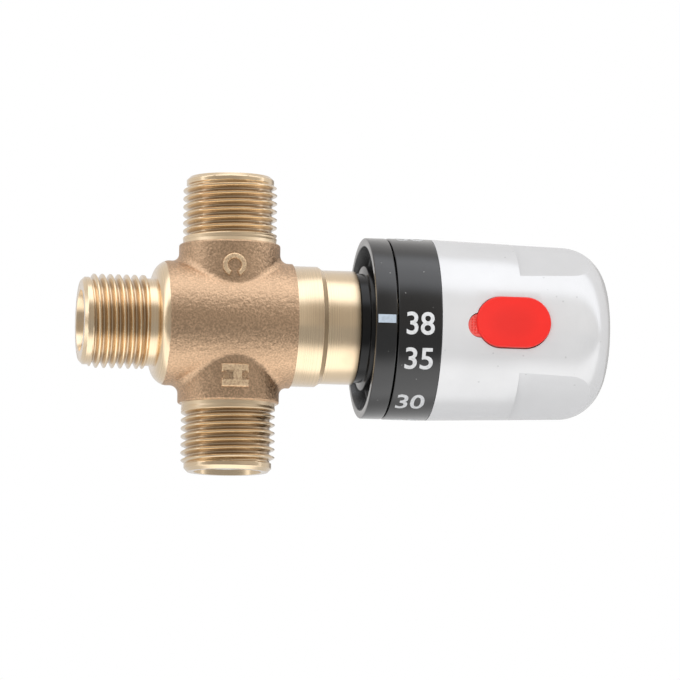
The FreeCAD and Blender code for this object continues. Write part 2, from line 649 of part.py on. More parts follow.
def index_ring():
    ring = turned(outline(
        (X_NECK_END, SPIGOT_R - TOOTH), (X_NECK_END, LIP_R), (X_INDEX, LIP_R), (X_INDEX, INDEX_HUB_R),
        (X_INDEX_BACK - INDEX_WEB, INDEX_HUB_R), (X_INDEX_BACK - INDEX_WEB, INDEX_R - INDEX_RIM),
        (X_INDEX, INDEX_R - INDEX_RIM), (X_INDEX, INDEX_R - DIAL_EDGE),
        (X_INDEX + DIAL_EDGE, INDEX_R), (X_INDEX_BACK - DIAL_EDGE, INDEX_R),
        (X_INDEX_BACK, INDEX_R - DIAL_EDGE), (X_INDEX_BACK, SPIGOT_R - TOOTH)))
    bore = serrated_bar(X_NECK_END - PAST, X_INDEX_BACK + PAST, SPIGOT_R + SLIP, TOOTH,
                        SPIGOT_TEETH)
    return ring.fuse(stop_segment()).cut(bore).removeSplitter()


def index_ring_clip():
    return split_clip(X_INDEX_BACK + RUN_GAP + LOOSE / 2, SPIGOT_R - 2 * TOOTH + SLIP, CLIP_WIDTH)


# ---- Knob -------------------------------------------------------------------------------------
def dial_ring():
    inner = DIAL_R - DIAL_THICKNESS
    return turned(outline(
        (X_DIAL, inner), (X_DIAL, DIAL_R - DIAL_EDGE), (X_DIAL + DIAL_EDGE, DIAL_R),
        (X_HANDLE - DIAL_EDGE, DIAL_R), (X_HANDLE, DIAL_R - DIAL_EDGE), (X_HANDLE, inner)))


def handle_outline():
    """Outside of the handle: a slow taper, a round corner and a low dome, each tangent to the next."""
    lean = math.atan(HANDLE_TAPER)
    dome_x = X_HANDLE_END - END_DOME_R
    reach = END_DOME_R - END_CORNER_R
    height = DIAL_R - END_CORNER_R / math.cos(lean)
    # Corner centre: on the line parallel to the taper and at one reach from the dome's centre.
    offset = X_HANDLE - dome_x
    a = 1 + HANDLE_TAPER ** 2
    b = 2 * (offset - HANDLE_TAPER * height)
    c = offset ** 2 + height ** 2 - reach ** 2
    along = (-b + math.sqrt(b * b - 4 * a * c)) / (2 * a)
    corner_x = X_HANDLE + along
    corner_r = height - HANDLE_TAPER * along
    tip = math.atan2(corner_x - dome_x, corner_r)
    middle = (lean + tip) / 2

    def on_corner(angle):
        return (corner_x + END_CORNER_R * math.sin(angle), corner_r + END_CORNER_R * math.cos(angle))

    half = (math.pi / 2 - tip) / 2
    dome_middle = (dome_x + END_DOME_R * math.cos(half), END_DOME_R * math.sin(half))
    return outline(
        (X_HANDLE, 0), (X_HANDLE, DIAL_R), on_corner(lean), (on_corner(middle), on_corner(tip)),
        (dome_middle, (X_HANDLE_END, 0)))


def grip_flats():
    """Cutting blocks for the flats between the handle's lobes."""
    block = Part.makeBox(HANDLE_LENGTH, DIAL_R, 4 * DIAL_R,
                         Vector(X_HANDLE + FLAT_START, DIAL_R - FLAT_DEPTH, -2 * DIAL_R))
    return [turned_copy(block, i * 360.0 / FLAT_COUNT) for i in range(FLAT_COUNT)]


def inner_hollow():
    """Ring-shaped space between the handle's wall and its hub."""
    deep = X_HANDLE + BORE_DEPTH
    space = turned(outline(
        (X_HANDLE - PAST, HANDLE_HUB_R), (X_HANDLE - PAST, HANDLE_BORE_R), (deep, HANDLE_BORE_R),
        (deep + CLOSING, HANDLE_BORE_R - CLOSING), (deep + CLOSING + PAST, HANDLE_HUB_R)))
    rib = Part.makeBox(2 * CLOSING, HANDLE_BORE_R + PAST, RIB_WIDTH,
                       Vector(deep - CLOSING / 2, 0, -RIB_WIDTH / 2))
    return space.cut([turned_copy(rib, i * 360.0 / FLAT_COUNT) for i in range(FLAT_COUNT)])


def tongue(start, end, gap=0.0):
    """Round low end of the button, or the hole for it, between two heights."""
    peg_shape = peg(X_TONGUE, start, end, TONGUE_R + gap)
    peg_shape.translate(Vector(0, 0, -TONGUE_SHIFT))
    return peg_shape


def button_window():
    pad = obround(BUTTON_LENGTH + 2 * BUTTON_GAP, BUTTON_WIDTH + 2 * BUTTON_GAP,
                  HANDLE_HUB_R + PAST, BUTTON_TOP + PAST, X_BUTTON)
    return pad.fuse(tongue(HANDLE_HUB_R + PAST, BUTTON_TOP + PAST, BUTTON_GAP))


def limit_rib():
    """Rib inside the skirt that meets the index ring's stop segment at 20 and at 50 degrees C."""
    middle = CATCH_ANGLE - HOTTER_TRAVEL - LIMIT_MARGIN - LIMIT_RIB_ANGLE / 2
    return sector(X_SKIRT, X_INDEX_BACK + STOP_HEIGHT + PAST, STOP_INNER_R + RUN_GAP,
                  SKIRT_R - SKIRT_WALL / 2, middle - LIMIT_RIB_ANGLE / 2,
                  middle + LIMIT_RIB_ANGLE / 2)


def handle_shell():
    shell = turned(handle_outline()).cut(inner_hollow())
    skirt = pipe(X_SKIRT, X_HANDLE + PAST, SKIRT_R, SKIRT_R - SKIRT_WALL)
    hub = rod(X_HUB, X_HANDLE + PAST, HANDLE_HUB_R)
    boss = peg(X_BUTTON, 0, SPRING_SEAT, SPRING_BOSS_R)
    shell = shell.fuse([skirt, hub, boss, limit_rib()])
    bores = [
        serrated_bar(X_HUB - PAST, X_HUB_FLOOR, SPINDLE_R + SLIP, SPINDLE_TOOTH, SPINDLE_TEETH),
        rod(X_HUB_FLOOR - PAST, X_SCREW_SEAT + PAST, M4_R + 2 * LOOSE),
        rod(X_SCREW_SEAT, X_HANDLE_END, SCREW_ACCESS_R),
        rod(X_HANDLE_END - END_CAP_SEAT, X_HANDLE_END + PAST, END_CAP_R + LOOSE)]
    return shell.cut(bores + grip_flats() + [button_window()])


def end_cap():
    """Push-in cap over the screw, domed like the end of the handle."""
    seat = X_HANDLE_END - END_CAP_SEAT
    disc = rod(seat, X_HANDLE_END, END_CAP_R).common(turned(handle_outline()))
    return disc.fuse(rod(seat - CAP_PLUG, seat + LOOSE, SCREW_ACCESS_R - SLIP)).removeSplitter()


def handle_screw():
    head_start = X_SCREW_SEAT + WASHER
    flat = HEX_KEY / 2 * (1 - math.cos(math.pi / HEX_SIDES))
    socket = serrated_bar(head_start + M4_HEAD / 2, head_start + M4_HEAD + PAST, HEX_KEY / 2, flat,
                          HEX_SIDES)
    screw = rod(head_start, head_start + M4_HEAD, M4_HEAD_R).fuse(
        rod(head_start - M4_LENGTH, head_start + LOOSE, M4_R))
    return screw.cut(socket).removeSplitter()


def screw_washer():
    return pipe(X_SCREW_SEAT, X_SCREW_SEAT + WASHER, WASHER_R, M4_R + LOOSE)


# ---- Safety button ----------------------------------------------------------------------------
def safety_button():
    pad = obround(BUTTON_LENGTH, BUTTON_WIDTH, FLANGE_TOP - FLANGE, BUTTON_TOP, X_BUTTON)
    crown = Part.makeCylinder(BUTTON_CROWN_R, 2 * BUTTON_LENGTH,
                              Vector(X_BUTTON - BUTTON_LENGTH, BUTTON_CROWN_R - BUTTON_TOP, 0), ALONG_X)
    pad = pad.common(crown)
    rim = [edge for edge in pad.Edges if edge.BoundBox.YMax < -BUTTON_TOP + BUTTON_PROUD]
    pad = pad.makeFillet(BUTTON_EDGE, rim)
    flange = obround(BUTTON_LENGTH + 2 * FLANGE_LEDGE, BUTTON_WIDTH + 2 * FLANGE_LEDGE,
                     FLANGE_TOP - FLANGE, FLANGE_TOP, X_BUTTON)
    lug_start = X_SPIGOT_END + RUN_GAP
    lug = Part.makeBox(X_BUTTON - lug_start, LUG_THICKNESS, LUG_WIDTH,
                       Vector(lug_start, -LUG_TOP, -LUG_WIDTH / 2))
    pocket = peg(X_BUTTON, 0, FLANGE_TOP - FLANGE + SPRING_POCKET, BUTTON_SPRING_R + BUTTON_WIRE)
    low_end = tongue(FLANGE_TOP - FLANGE, BUTTON_TOP - TONGUE_DROP)
    return pad.fuse([low_end, flange, lug]).cut(pocket).removeSplitter()


def button_spring():
    end = FLANGE_TOP - FLANGE + SPRING_POCKET
    spring = coil_spring(end - SPRING_SEAT, BUTTON_SPRING_R, BUTTON_WIRE, BUTTON_TURNS)
    spring.rotate(ORIGIN, ALONG_Z, -90)
    spring.translate(Vector(X_BUTTON, -SPRING_SEAT, 0))
    return spring


# ---- All pieces -------------------------------------------------------------------------------
PIECES = {
    "valve_body": valve_body(),
    "cartridge_housing": cartridge_housing(),
    "cartridge_bonnet": cartridge_bonnet(),
    "cartridge_o_rings": cartridge_o_rings(),
    "index_ring": index_ring(),
    "index_ring_clip": index_ring_clip(),
    "shuttle": shuttle(),
    "shuttle_o_ring": shuttle_o_ring(),
    "wax_element": wax_element(),
    "element_piston": element_piston(),
    "return_spring": return_spring(),
    "overload_cap": overload_cap(),
    "overload_spring": overload_spring(),
    "adjusting_nut": adjusting_nut(),
    "spindle": spindle(),
    "spindle_o_rings": spindle_o_rings(),
    "spindle_clip": spindle_clip(),
    "dial_ring": dial_ring(),
    "handle_shell": handle_shell(),
    "handle_screw": handle_screw(),
    "screw_washer": screw_washer(),
    "end_cap": end_cap(),
    "safety_button": safety_button(),
    "button_spring": button_spring(),
}
for name, piece in (("body", check_body()), ("poppet", check_poppet()), ("spring", check_spring())):
    PIECES["cold_check_" + name] = piece
    PIECES["hot_check_" + name] = turned_copy(piece, 180)
PIECES["cold_strainer"] = strainer()
PIECES["hot_strainer"] = turned_copy(strainer(), 180)

os.makedirs("parts", exist_ok=True)
for name, piece in PIECES.items():
    piece.exportStep("parts/" + name + ".step")
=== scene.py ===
"""Looks of a thermostatic mixing valve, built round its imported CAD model.

Metres, in the frame of the CAD model: +X runs from the mixed-water outlet to the end of the knob,
+Z is the cold inlet, -Z the hot inlet, and -Y the side with the safety button.
"""
import json
import math

import bmesh
import bpy
from bpy.props import FloatProperty, FloatVectorProperty, PointerProperty
from bpy.types import Operator, Panel, PropertyGroup
from mathutils import Matrix, Vector


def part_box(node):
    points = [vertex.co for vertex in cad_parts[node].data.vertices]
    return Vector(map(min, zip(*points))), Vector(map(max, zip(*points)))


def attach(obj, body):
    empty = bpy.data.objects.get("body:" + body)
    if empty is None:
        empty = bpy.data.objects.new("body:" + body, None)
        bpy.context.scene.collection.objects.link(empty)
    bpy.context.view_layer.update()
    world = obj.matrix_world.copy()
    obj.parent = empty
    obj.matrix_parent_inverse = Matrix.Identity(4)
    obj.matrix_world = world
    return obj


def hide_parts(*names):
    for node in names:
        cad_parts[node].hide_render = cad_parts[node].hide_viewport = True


bl_info = {
    "name": "Thermostatic Mixing Valve",
    "version": (1, 0, 0),
    "blender": (4, 5, 0),
    "location": "View3D > Sidebar > Mixing Valve",
    "description": "Dresses the CAD model of a thermostatic mixing valve",
    "category": "Object",
}

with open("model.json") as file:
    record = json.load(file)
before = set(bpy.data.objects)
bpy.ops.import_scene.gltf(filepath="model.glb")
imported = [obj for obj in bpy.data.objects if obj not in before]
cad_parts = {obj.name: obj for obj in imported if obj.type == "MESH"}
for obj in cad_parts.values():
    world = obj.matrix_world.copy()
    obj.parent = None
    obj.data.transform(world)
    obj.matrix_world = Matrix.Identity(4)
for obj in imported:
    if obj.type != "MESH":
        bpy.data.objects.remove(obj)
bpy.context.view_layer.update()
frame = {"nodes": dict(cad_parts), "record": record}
MM = 0.001

# Stations that the CAD nodes give.
BODY_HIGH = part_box("valve_body")[1]
DIAL_LOW, DIAL_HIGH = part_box("dial_ring")
INDEX_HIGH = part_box("index_ring")[1]
BUTTON_LOW, BUTTON_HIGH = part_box("safety_button")
STRAINER_LOW, STRAINER_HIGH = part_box("cold_strainer")
PORT_X = (STRAINER_LOW.x + STRAINER_HIGH.x) / 2
PORT_END = BODY_HIGH.z
PAD_X = BUTTON_HIGH.x - 9.35 * MM      # middle of the button's pad
TONGUE_X = BUTTON_HIGH.x - 16.8 * MM   # middle of the grip on its tongue

# The sleeves that carry the threads, with places measured from the pipe's end face.
RUN_OUT = 0.5 * MM
ROWS_PER_PITCH = 16
SLEEVE_BORE = 8.7 * MM
BODY_CORE = 8.8 * MM                   # radius of the casting under a sleeve
OUTLET_RELIEF = 9.75 * MM
INLET_RELIEF = 10.4 * MM
# Below: where along the pipe the thread valleys get painted shade, and the radii over which that painted
# shade fades out.
SHADED_THREAD_SPAN = (2.2 * MM, 13.6 * MM)   # where valleys are darkened
VALLEY_SHADE_RADII = (9.4 * MM, 9.95 * MM)         # radii between which they lighten
UNDER_THREAD = 13.2 * MM               # where an inlet's duller foot begins


# ---- Node trees written as expressions -----------------------------------------------------------
def pick(sockets, key):
    """A socket by place, identifier or name."""
    if isinstance(key, int):
        return sockets[key]
    for socket in sockets:
        if socket.identifier == key:
            return socket
    return sockets[key]


class Value:
    """A socket's value; arithmetic on it adds Math nodes."""

    def __init__(self, graph, socket):
        self.graph = graph
        self.socket = socket

    def maths(self, operation, *terms):
        return self.graph.add("ShaderNodeMath", {"operation": operation}, dict(enumerate(terms)))

    def __add__(self, other):
        return self.maths("ADD", self, other)

    def __radd__(self, other):
        return self.maths("ADD", other, self)

    def __sub__(self, other):
        return self.maths("SUBTRACT", self, other)

    def __rsub__(self, other):
        return self.maths("SUBTRACT", other, self)

    def __mul__(self, other):
        return self.maths("MULTIPLY", self, other)

    def __rmul__(self, other):
        return self.maths("MULTIPLY", other, self)

    def __truediv__(self, other):
        return self.maths("DIVIDE", self, other)

    def __rtruediv__(self, other):
        return self.maths("DIVIDE", other, self)

    def __mod__(self, other):
        return self.maths("FLOORED_MODULO", self, other)

    def __pow__(self, other):
        return self.maths("POWER", self, other)

    def __gt__(self, other):
        return self.maths("GREATER_THAN", self, other)

    def __lt__(self, other):
        return self.maths("LESS_THAN", self, other)

    def __abs__(self):
        return self.maths("ABSOLUTE", self)


def least(a, b):
    """The smaller of two values."""
    return a.maths("MINIMUM", a, b)


def most(a, b):
    """The larger of two values."""
    return a.maths("MAXIMUM", a, b)


class Graph:
    """A material's, world's or geometry tree that expressions are added to."""

    def __init__(self, tree):
        self.tree = tree

    def add(self, kind, settings=None, sockets=None, out=0):
        """Adds a node, makes its settings first and then its sockets' values or links."""
        node = self.tree.nodes.new(kind)
        for key, value in (settings or {}).items():
            if key == "stops":
                ramp = node.color_ramp.elements
                while len(ramp) < len(value):
                    ramp.new(1.0)
                for stop, (place, colour) in zip(ramp, value):
                    stop.position = place
                    stop.color = colour
            else:
                setattr(node, key, value)
        for key, value in (sockets or {}).items():
            self.plug(pick(node.inputs, key), value)
        if isinstance(out, tuple):
            return [Value(self, pick(node.outputs, key)) for key in out]
        return Value(self, pick(node.outputs, out)) if len(node.outputs) else node

    def plug(self, socket, value):
        if isinstance(value, Value):
            self.tree.links.new(value.socket, socket)
        else:
            socket.default_value = value

    def spot(self):
        """The point in the CAD frame."""
        return self.add("ShaderNodeTexCoord", out="Object")

    def place(self):
        """The point in the CAD frame, and its X, Y and Z."""
        spot = self.spot()
        return [spot] + self.split(spot)

    def split(self, vector):
        return self.add("ShaderNodeSeparateXYZ", None, {0: vector}, ("X", "Y", "Z"))

    def join(self, x, y, z):
        return self.add("ShaderNodeCombineXYZ", None, {"X": x, "Y": y, "Z": z})

    def noise(self, spot, scale, detail=2.0, roughness=0.5):
        return self.add("ShaderNodeTexNoise", None, {
            "Vector": spot, "Scale": scale, "Detail": detail, "Roughness": roughness})

    def streaks(self, along, scale, detail=2.0):
        """Noise that changes along one direction only."""
        return self.add("ShaderNodeTexNoise", {"noise_dimensions": "1D"}, {
            "W": along, "Scale": scale, "Detail": detail})

    def rise(self, value, low, high, start=0.0, end=1.0):
        """Smooth step from start at low to end at high."""
        return self.add("ShaderNodeMapRange", {"interpolation_type": "SMOOTHSTEP"}, {
            "Value": value, "From Min": low, "From Max": high, "To Min": start, "To Max": end})

    def swing(self, angle, low, high, start=0.0, end=1.0):
        """Smooth step of an angle, with its limits in degrees."""
        return self.rise(angle, math.radians(low), math.radians(high), start, end)

    def cloud(self, spot, scale, detail=3.0):
        """Soft patches for tones that change slowly."""
        return self.rise(self.noise(spot, scale, detail), 0.3, 0.7)

    def specks(self, spot, scale, size, chance_scale, chance):
        """Mask of scattered dust specks."""
        dust = self.add("ShaderNodeTexVoronoi", {"feature": "F1"}, {"Vector": spot, "Scale": scale},
                        "Distance")
        return (dust < size) * (self.noise(spot, chance_scale, 0.0) > chance)

    def blend(self, factor, a, b):
        """Colour between a and b."""
        return self.add("ShaderNodeMix", {"data_type": "RGBA"}, {
            "Factor_Float": factor, "A_Color": a, "B_Color": b}, "Result_Color")

    def bump(self, height, depth, strength=1.0):
        return self.add("ShaderNodeBump", None, {
            "Height": height, "Distance": depth, "Strength": strength})

    def shader(self):
        """The material's own shader node."""
        return self.tree.nodes["Principled BSDF"]


def rgba(colour, share=1.0):
    """A colour with its alpha, dimmed by a share."""
    return tuple(channel * share for channel in colour) + (1.0,)


def material(graph, colour, roughness, metallic=0.0, normal=None, **uniform):
    """Closes a graph's material: its shader, with the changing values linked and the rest set."""
    shader = graph.shader()
    graph.plug(shader.inputs["Base Color"], colour)
    graph.plug(shader.inputs["Roughness"], roughness)
    graph.plug(shader.inputs["Metallic"], metallic)
    if normal is not None:
        graph.plug(shader.inputs["Normal"], normal)
    for key, value in uniform.items():
        shader.inputs[key.replace("_", " ")].default_value = value
    return graph.made


def fresh_graph(name):
    """Graph of a new material."""
    made = bpy.data.materials.new(name)
    made.use_nodes = True
    graph = Graph(made.node_tree)
    graph.made = made
    return graph


# ---- Finishes ------------------------------------------------------------------------------------
def cast_brass(g, look, tone, speckle):
    """Colour of the blasted casting."""
    cast = g.blend(speckle, rgba(look.cast_colour, 0.66), rgba(look.cast_colour, 1.08))
    return g.blend(g.rise(tone, 0.35, 0.7, 0.0, 0.35), cast, rgba(look.cast_colour, 0.8))


def bright_brass(g, look, tone, lines):
    """Colour of the turned ends, streaked by the tool."""
    shine = g.blend(g.rise(lines, 0.3, 0.75), rgba(look.turned_colour, 0.86), rgba(look.turned_colour))
    return g.blend(g.rise(tone, 0.45, 0.75, 0.0, 0.25), shine, rgba(look.cast_colour, 0.85))


def on_bevel(look, x):
    """Mask of the collar's bevel, which the tool left duller."""
    return (x > look.bevel_start) * (x < look.bevel_start + look.bevel_width)


def brass_finish():
    """Sand-cast brass that is turned bright at the pipe ends, the shoulder, the collar and neck."""
    if "valve_brass" in bpy.data.materials:
        return bpy.data.materials["valve_brass"]
    look = bpy.context.scene.mixing_valve_brass
    g = fresh_graph("valve_brass")
    spot, x, y, z = g.place()
    waver = (g.noise(spot, 900.0) - 0.5) * 0.25 * MM
    on_run = most(x + waver < look.shoulder_end, x > look.collar_start)
    on_port = abs(z) + waver > look.boss_end
    turned = most(on_run, on_port)

    grain = g.noise(spot, 2300.0, 3.0, 0.6)
    pits = g.noise(spot, 1000.0, 2.0, 0.55)
    tone = g.noise(spot, 130.0, 3.0, 0.5)
    speckle = g.rise(grain, 0.36, 0.68)
    lines = g.streaks(x + on_port * (z - x), 5200.0, 3.0)

    centre = x + on_port * (0 - PORT_X)
    radius = (y * y + (centre * on_port + z * (1 - on_port)) ** 2) ** 0.5
    from_end = x + on_port * (PORT_END - abs(z) - x)
    threaded = turned * (from_end > SHADED_THREAD_SPAN[0]) * (from_end < SHADED_THREAD_SPAN[1])
    # Mask of the painted shade deep in the thread valleys.
    valley_shade = threaded * g.rise(radius, *VALLEY_SHADE_RADII, 1.0, 0.0)

    shine = bright_brass(g, look, tone, lines)
    # Painted shade: the hot port underneath is darkened for the lesser light that reaches it from below.
    shine = g.blend(z < -look.boss_end, shine, rgba(look.turned_colour, 0.84))
    # Painted shade: deep in the thread valleys the colour goes to dark cast brown.
    shine = g.blend(valley_shade * 0.45, shine, rgba(look.cast_colour, 0.42))
    colour = g.blend(turned, cast_brass(g, look, tone, speckle), shine)

    cast_rough = 0.42 + (speckle - 0.5) * 0.10
    under = on_port * (from_end > UNDER_THREAD)
    turned_rough = 0.24 + under * 0.18 + on_bevel(look, x) * 0.3 + (lines - 0.5) * 0.12
    rough = cast_rough + turned * (turned_rough - cast_rough)
    height = (grain * 0.6 + pits) * (1 - turned) + turned * lines * 0.012
    g.plug(g.shader().inputs["Coat Weight"], turned * look.film)
    return material(g, colour, rough, 1.0, g.bump(height, 0.15 * MM, 0.8), Coat_Roughness=0.15)


def rubbed_finish():
    """Cast brass of the raised letters, coloured lighter than the casting round them."""
    look = bpy.context.scene.mixing_valve_brass
    g = fresh_graph("letter_brass")
    grain = g.noise(g.spot(), 2300.0, 3.0, 0.6)
    colour = g.blend(g.rise(grain, 0.3, 0.6), rgba(look.cast_colour, 0.95), rgba(look.turned_colour))
    return material(g, colour, 0.55 + (grain - 0.5) * 0.2, 1.0, g.bump(grain, 0.12 * MM, 0.8))


def turned_brass_finish():
    """Brass turned on a lathe about the knob axis."""
    look = bpy.context.scene.mixing_valve_brass
    g = fresh_graph("lathe_brass")
    spot, x, y, z = g.place()
    lines = g.streaks(x, 4200.0, 3.0)
    tone = g.noise(spot, 260.0, 3.0)
    colour = g.blend(g.rise(tone, 0.35, 0.7), rgba(look.turned_colour), rgba(look.turned_colour, 0.9))
    rough = 0.12 + on_bevel(look, x) * 0.44 + lines * 0.10
    return material(g, colour, rough, 1.0, g.bump(lines, 0.0015 * MM), Coat_Weight=look.film,
                    Coat_Roughness=0.15)


def silver_finish():
    """Satin-plated moulding with fine handling marks."""
    look = bpy.context.scene.mixing_valve_knob
    g = fresh_graph("satin_plating")
    spot = g.spot()
    fine = g.noise(spot, 2600.0, 2.0)
    broad = g.noise(spot, 90.0, 3.0)
    speck = g.specks(spot, 420.0, 0.10, 520.0, 0.60)
    colour = g.blend(g.rise(broad, 0.3, 0.7), rgba(look.silver_colour), rgba(look.silver_colour, 0.955))
    colour = g.blend(speck * 0.35, colour, (0.35, 0.35, 0.36, 1.0))
    rough = look.silver_roughness + (broad - 0.5) * 0.10 + (fine - 0.5) * 0.05
    return material(g, colour, rough, look.silver_metallic, g.bump(fine + broad * 2.0, 0.006 * MM))


def black_finish():
    """Moulded black plastic with a little pale dust."""
    look = bpy.context.scene.mixing_valve_knob
    g = fresh_graph("black_moulding")
    spot, x, y, z = g.place()
    fine = g.noise(spot, 3800.0, 2.0, 0.6)
    broad = g.noise(spot, 140.0, 3.0)
    speck = g.specks(spot, 640.0, 0.13, 800.0, 0.69)
    groove = INDEX_HIGH.y - 2.6 * MM
    deep = (y * y + z * z < groove ** 2) * (x < INDEX_HIGH.x)
    colour = g.blend(g.rise(broad, 0.3, 0.7), rgba(look.black_colour), rgba(look.black_colour, 1.5))
    colour = g.blend(speck * 0.5, colour, (0.34, 0.34, 0.33, 1.0))
    rough = 0.24 + (broad - 0.5) * 0.10 + speck * 0.3 - deep * 0.1
    g.plug(g.shader().inputs["Coat Weight"], (1 - deep) * 0.9)
    return material(g, colour, rough, 0.0, g.bump(fine + speck * 2.0, 0.004 * MM), Specular_IOR_Level=0.3,
                    Coat_Roughness=0.2)


def print_finish(name, tint):
    """Pale pad print, a little thin in places."""
    g = fresh_graph(name)
    thin = g.noise(g.spot(), 1500.0, 3.0)
    colour = g.blend(g.rise(thin, 0.30, 0.62), rgba(tint, 0.82), rgba(tint))
    return material(g, colour, 0.5 + (thin - 0.5) * 0.2, 0.0, g.bump(thin, 0.004 * MM))


def red_finish():
    """Red moulded plastic, with painted shade darkening the pad's middle and a painted sheen making the
    tongue paler.
    """
    if "red_moulding" in bpy.data.materials:
        return bpy.data.materials["red_moulding"]
    look = bpy.context.scene.mixing_valve_knob
    g = fresh_graph("red_moulding")
    spot, x, y, z = g.place()
    fine = g.noise(spot, 3000.0, 2.0)
    broad = g.noise(spot, 160.0, 3.0)
    on_tongue = y > BUTTON_LOW.y + 0.9 * MM
    from_middle = ((x - PAD_X) * 0.7) ** 2 + z * z
    # Painted shade: the pad is darkened towards its middle.
    middle = g.rise(from_middle, 0.0, (4.5 * MM) ** 2, 0.5, 0.0)
    colour = g.blend(g.rise(broad, 0.3, 0.7), rgba(look.red_colour), rgba(look.red_colour, 0.95))
    colour = g.blend(middle, colour, rgba(look.red_colour, 0.8))
    # Painted sheen: the tongue and its grip get a paler red for the light the grip catches.
    colour = g.blend(on_tongue, colour, rgba(look.tongue_colour))
    return material(g, colour, 0.38 + (fine - 0.5) * 0.08, 0.0, g.bump(fine + broad, 0.006 * MM))


def moulded_finish(name, tint, roughness=0.42):
    """Plain moulded plastic or rubber with a faint cloudiness and grain."""
    g = fresh_graph(name)
    spot = g.spot()
    fine = g.noise(spot, 2600.0, 3.0)
    colour = g.blend(g.cloud(spot, 220.0), rgba(tint), rgba(tint, 0.86))
    return material(g, colour, roughness + (fine - 0.5) * 0.12, 0.0, g.bump(fine, 0.006 * MM))


def steel_finish():
    """Drawn or stamped stainless steel."""
    if "bright_steel" in bpy.data.materials:
        return bpy.data.materials["bright_steel"]
    g = fresh_graph("bright_steel")
    spot = g.spot()
    fine = g.noise(spot, 3600.0, 3.0)
    colour = g.blend(g.cloud(spot, 300.0, 2.0), (0.62, 0.61, 0.59, 1.0), (0.5, 0.49, 0.47, 1.0))
    return material(g, colour, 0.24 + fine * 0.14, 1.0, g.bump(fine, 0.004 * MM))


# ---- Meshes --------------------------------------------------------------------------------------
def show(name, mesh, finish, slot, body, *stands_for):
    """Puts a finished mesh in the scene, riding on its body."""
    piece = bpy.data.objects.new(name, mesh)
    bpy.context.scene.collection.objects.link(piece)
    mesh.materials.clear()
    mesh.materials.append(finish)
    if stands_for:
        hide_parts(*stands_for)
    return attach(piece, body)


def mesh_from(builder, name, smooth=30.0):
    """Mesh of a bmesh, shaded smooth except at edges sharper than an angle in degrees."""
    mesh = bpy.data.meshes.new(name)
    builder.verts.index_update()
    mesh.from_pydata([v.co[:] for v in builder.verts], [],
                     [[v.index for v in face.verts] for face in builder.faces])
    builder.free()
    mesh.polygons.foreach_set("use_smooth", [True] * len(mesh.polygons))
    mesh.set_sharp_from_angle(angle=math.radians(smooth))
    mesh.update()
    return mesh


def merged(node):
    """A CAD node's loose triangles, welded into one closed bmesh."""
    builder = bmesh.new()
    builder.from_mesh(frame["nodes"][node].data)
    bmesh.ops.remove_doubles(builder, verts=builder.verts, dist=0.002 * MM)
    bmesh.ops.dissolve_degenerate(builder, edges=builder.edges, dist=0.001 * MM)
    return builder


def rounded(mesh, name, width, angle=35.0, steps=2, sharp=50.0):
    """The mesh with its sharp edges rounded, shaded smooth except at edges sharper than an angle."""
    holder = bpy.data.objects.new(name, mesh)
    bpy.context.scene.collection.objects.link(holder)
    edge = holder.modifiers.new("edges", "BEVEL")
    edge.width = width
    edge.segments = steps
    edge.limit_method = "ANGLE"
    edge.angle_limit = math.radians(angle)
    edge.harden_normals = False
    ready = bpy.context.evaluated_depsgraph_get()
    result = bpy.data.meshes.new_from_object(holder.evaluated_get(ready))
    bpy.data.objects.remove(holder)
    result.name = name
    result.polygons.foreach_set("use_smooth", [True] * len(result.polygons))
    result.set_sharp_from_angle(angle=math.radians(sharp))
    return result


def joined(builders):
    """Several bmeshes as one."""
    whole = bmesh.new()
    for builder in builders:
        mesh = bpy.data.meshes.new("part")
        builder.to_mesh(mesh)
        builder.free()
        whole.from_mesh(mesh)
        bpy.data.meshes.remove(mesh)
    return whole


class PieceTree:
    """Geometry tree with named inputs, ended by Realize Instances and Set Material."""

    def __init__(self, name, inputs):
        self.tree = bpy.data.node_groups.new(name, "GeometryNodeTree")
        self.graph = Graph(self.tree)
        self.keys = {}
        for label, (kind, value) in inputs.items():
            socket = self.tree.interface.new_socket(label, in_out="INPUT", socket_type="NodeSocket" + kind)
            socket.default_value = value
            self.keys[label] = socket.identifier
        self.tree.interface.new_socket("Geometry", in_out="OUTPUT", socket_type="NodeSocketGeometry")
        start = self.tree.nodes.new("NodeGroupInput")
        self.given = {label: Value(self.graph, pick(start.outputs, key)) for label, key in self.keys.items()}

    def close(self, geometry, finish):
        real = self.graph.add("GeometryNodeRealizeInstances", None, {0: geometry})
        done = self.graph.add("GeometryNodeSetMaterial", None, {"Geometry": real, "Material": finish})
        end = self.tree.nodes.new("NodeGroupOutput")
        self.tree.links.new(done.socket, end.inputs[0])

    def mesh(self, name, **values):
        """Plain mesh of the tree for these input values."""
        holder = bpy.data.objects.new(name, bpy.data.meshes.new(name))
        bpy.context.scene.collection.objects.link(holder)
        nodes = holder.modifiers.new("nodes", "NODES")
        nodes.node_group = self.tree
        for label, value in values.items():
            nodes[self.keys[label]] = value
        ready = bpy.context.evaluated_depsgraph_get()
        result = bpy.data.meshes.new_from_object(holder.evaluated_get(ready))
        bpy.data.objects.remove(holder)
        result.name = name
        return result


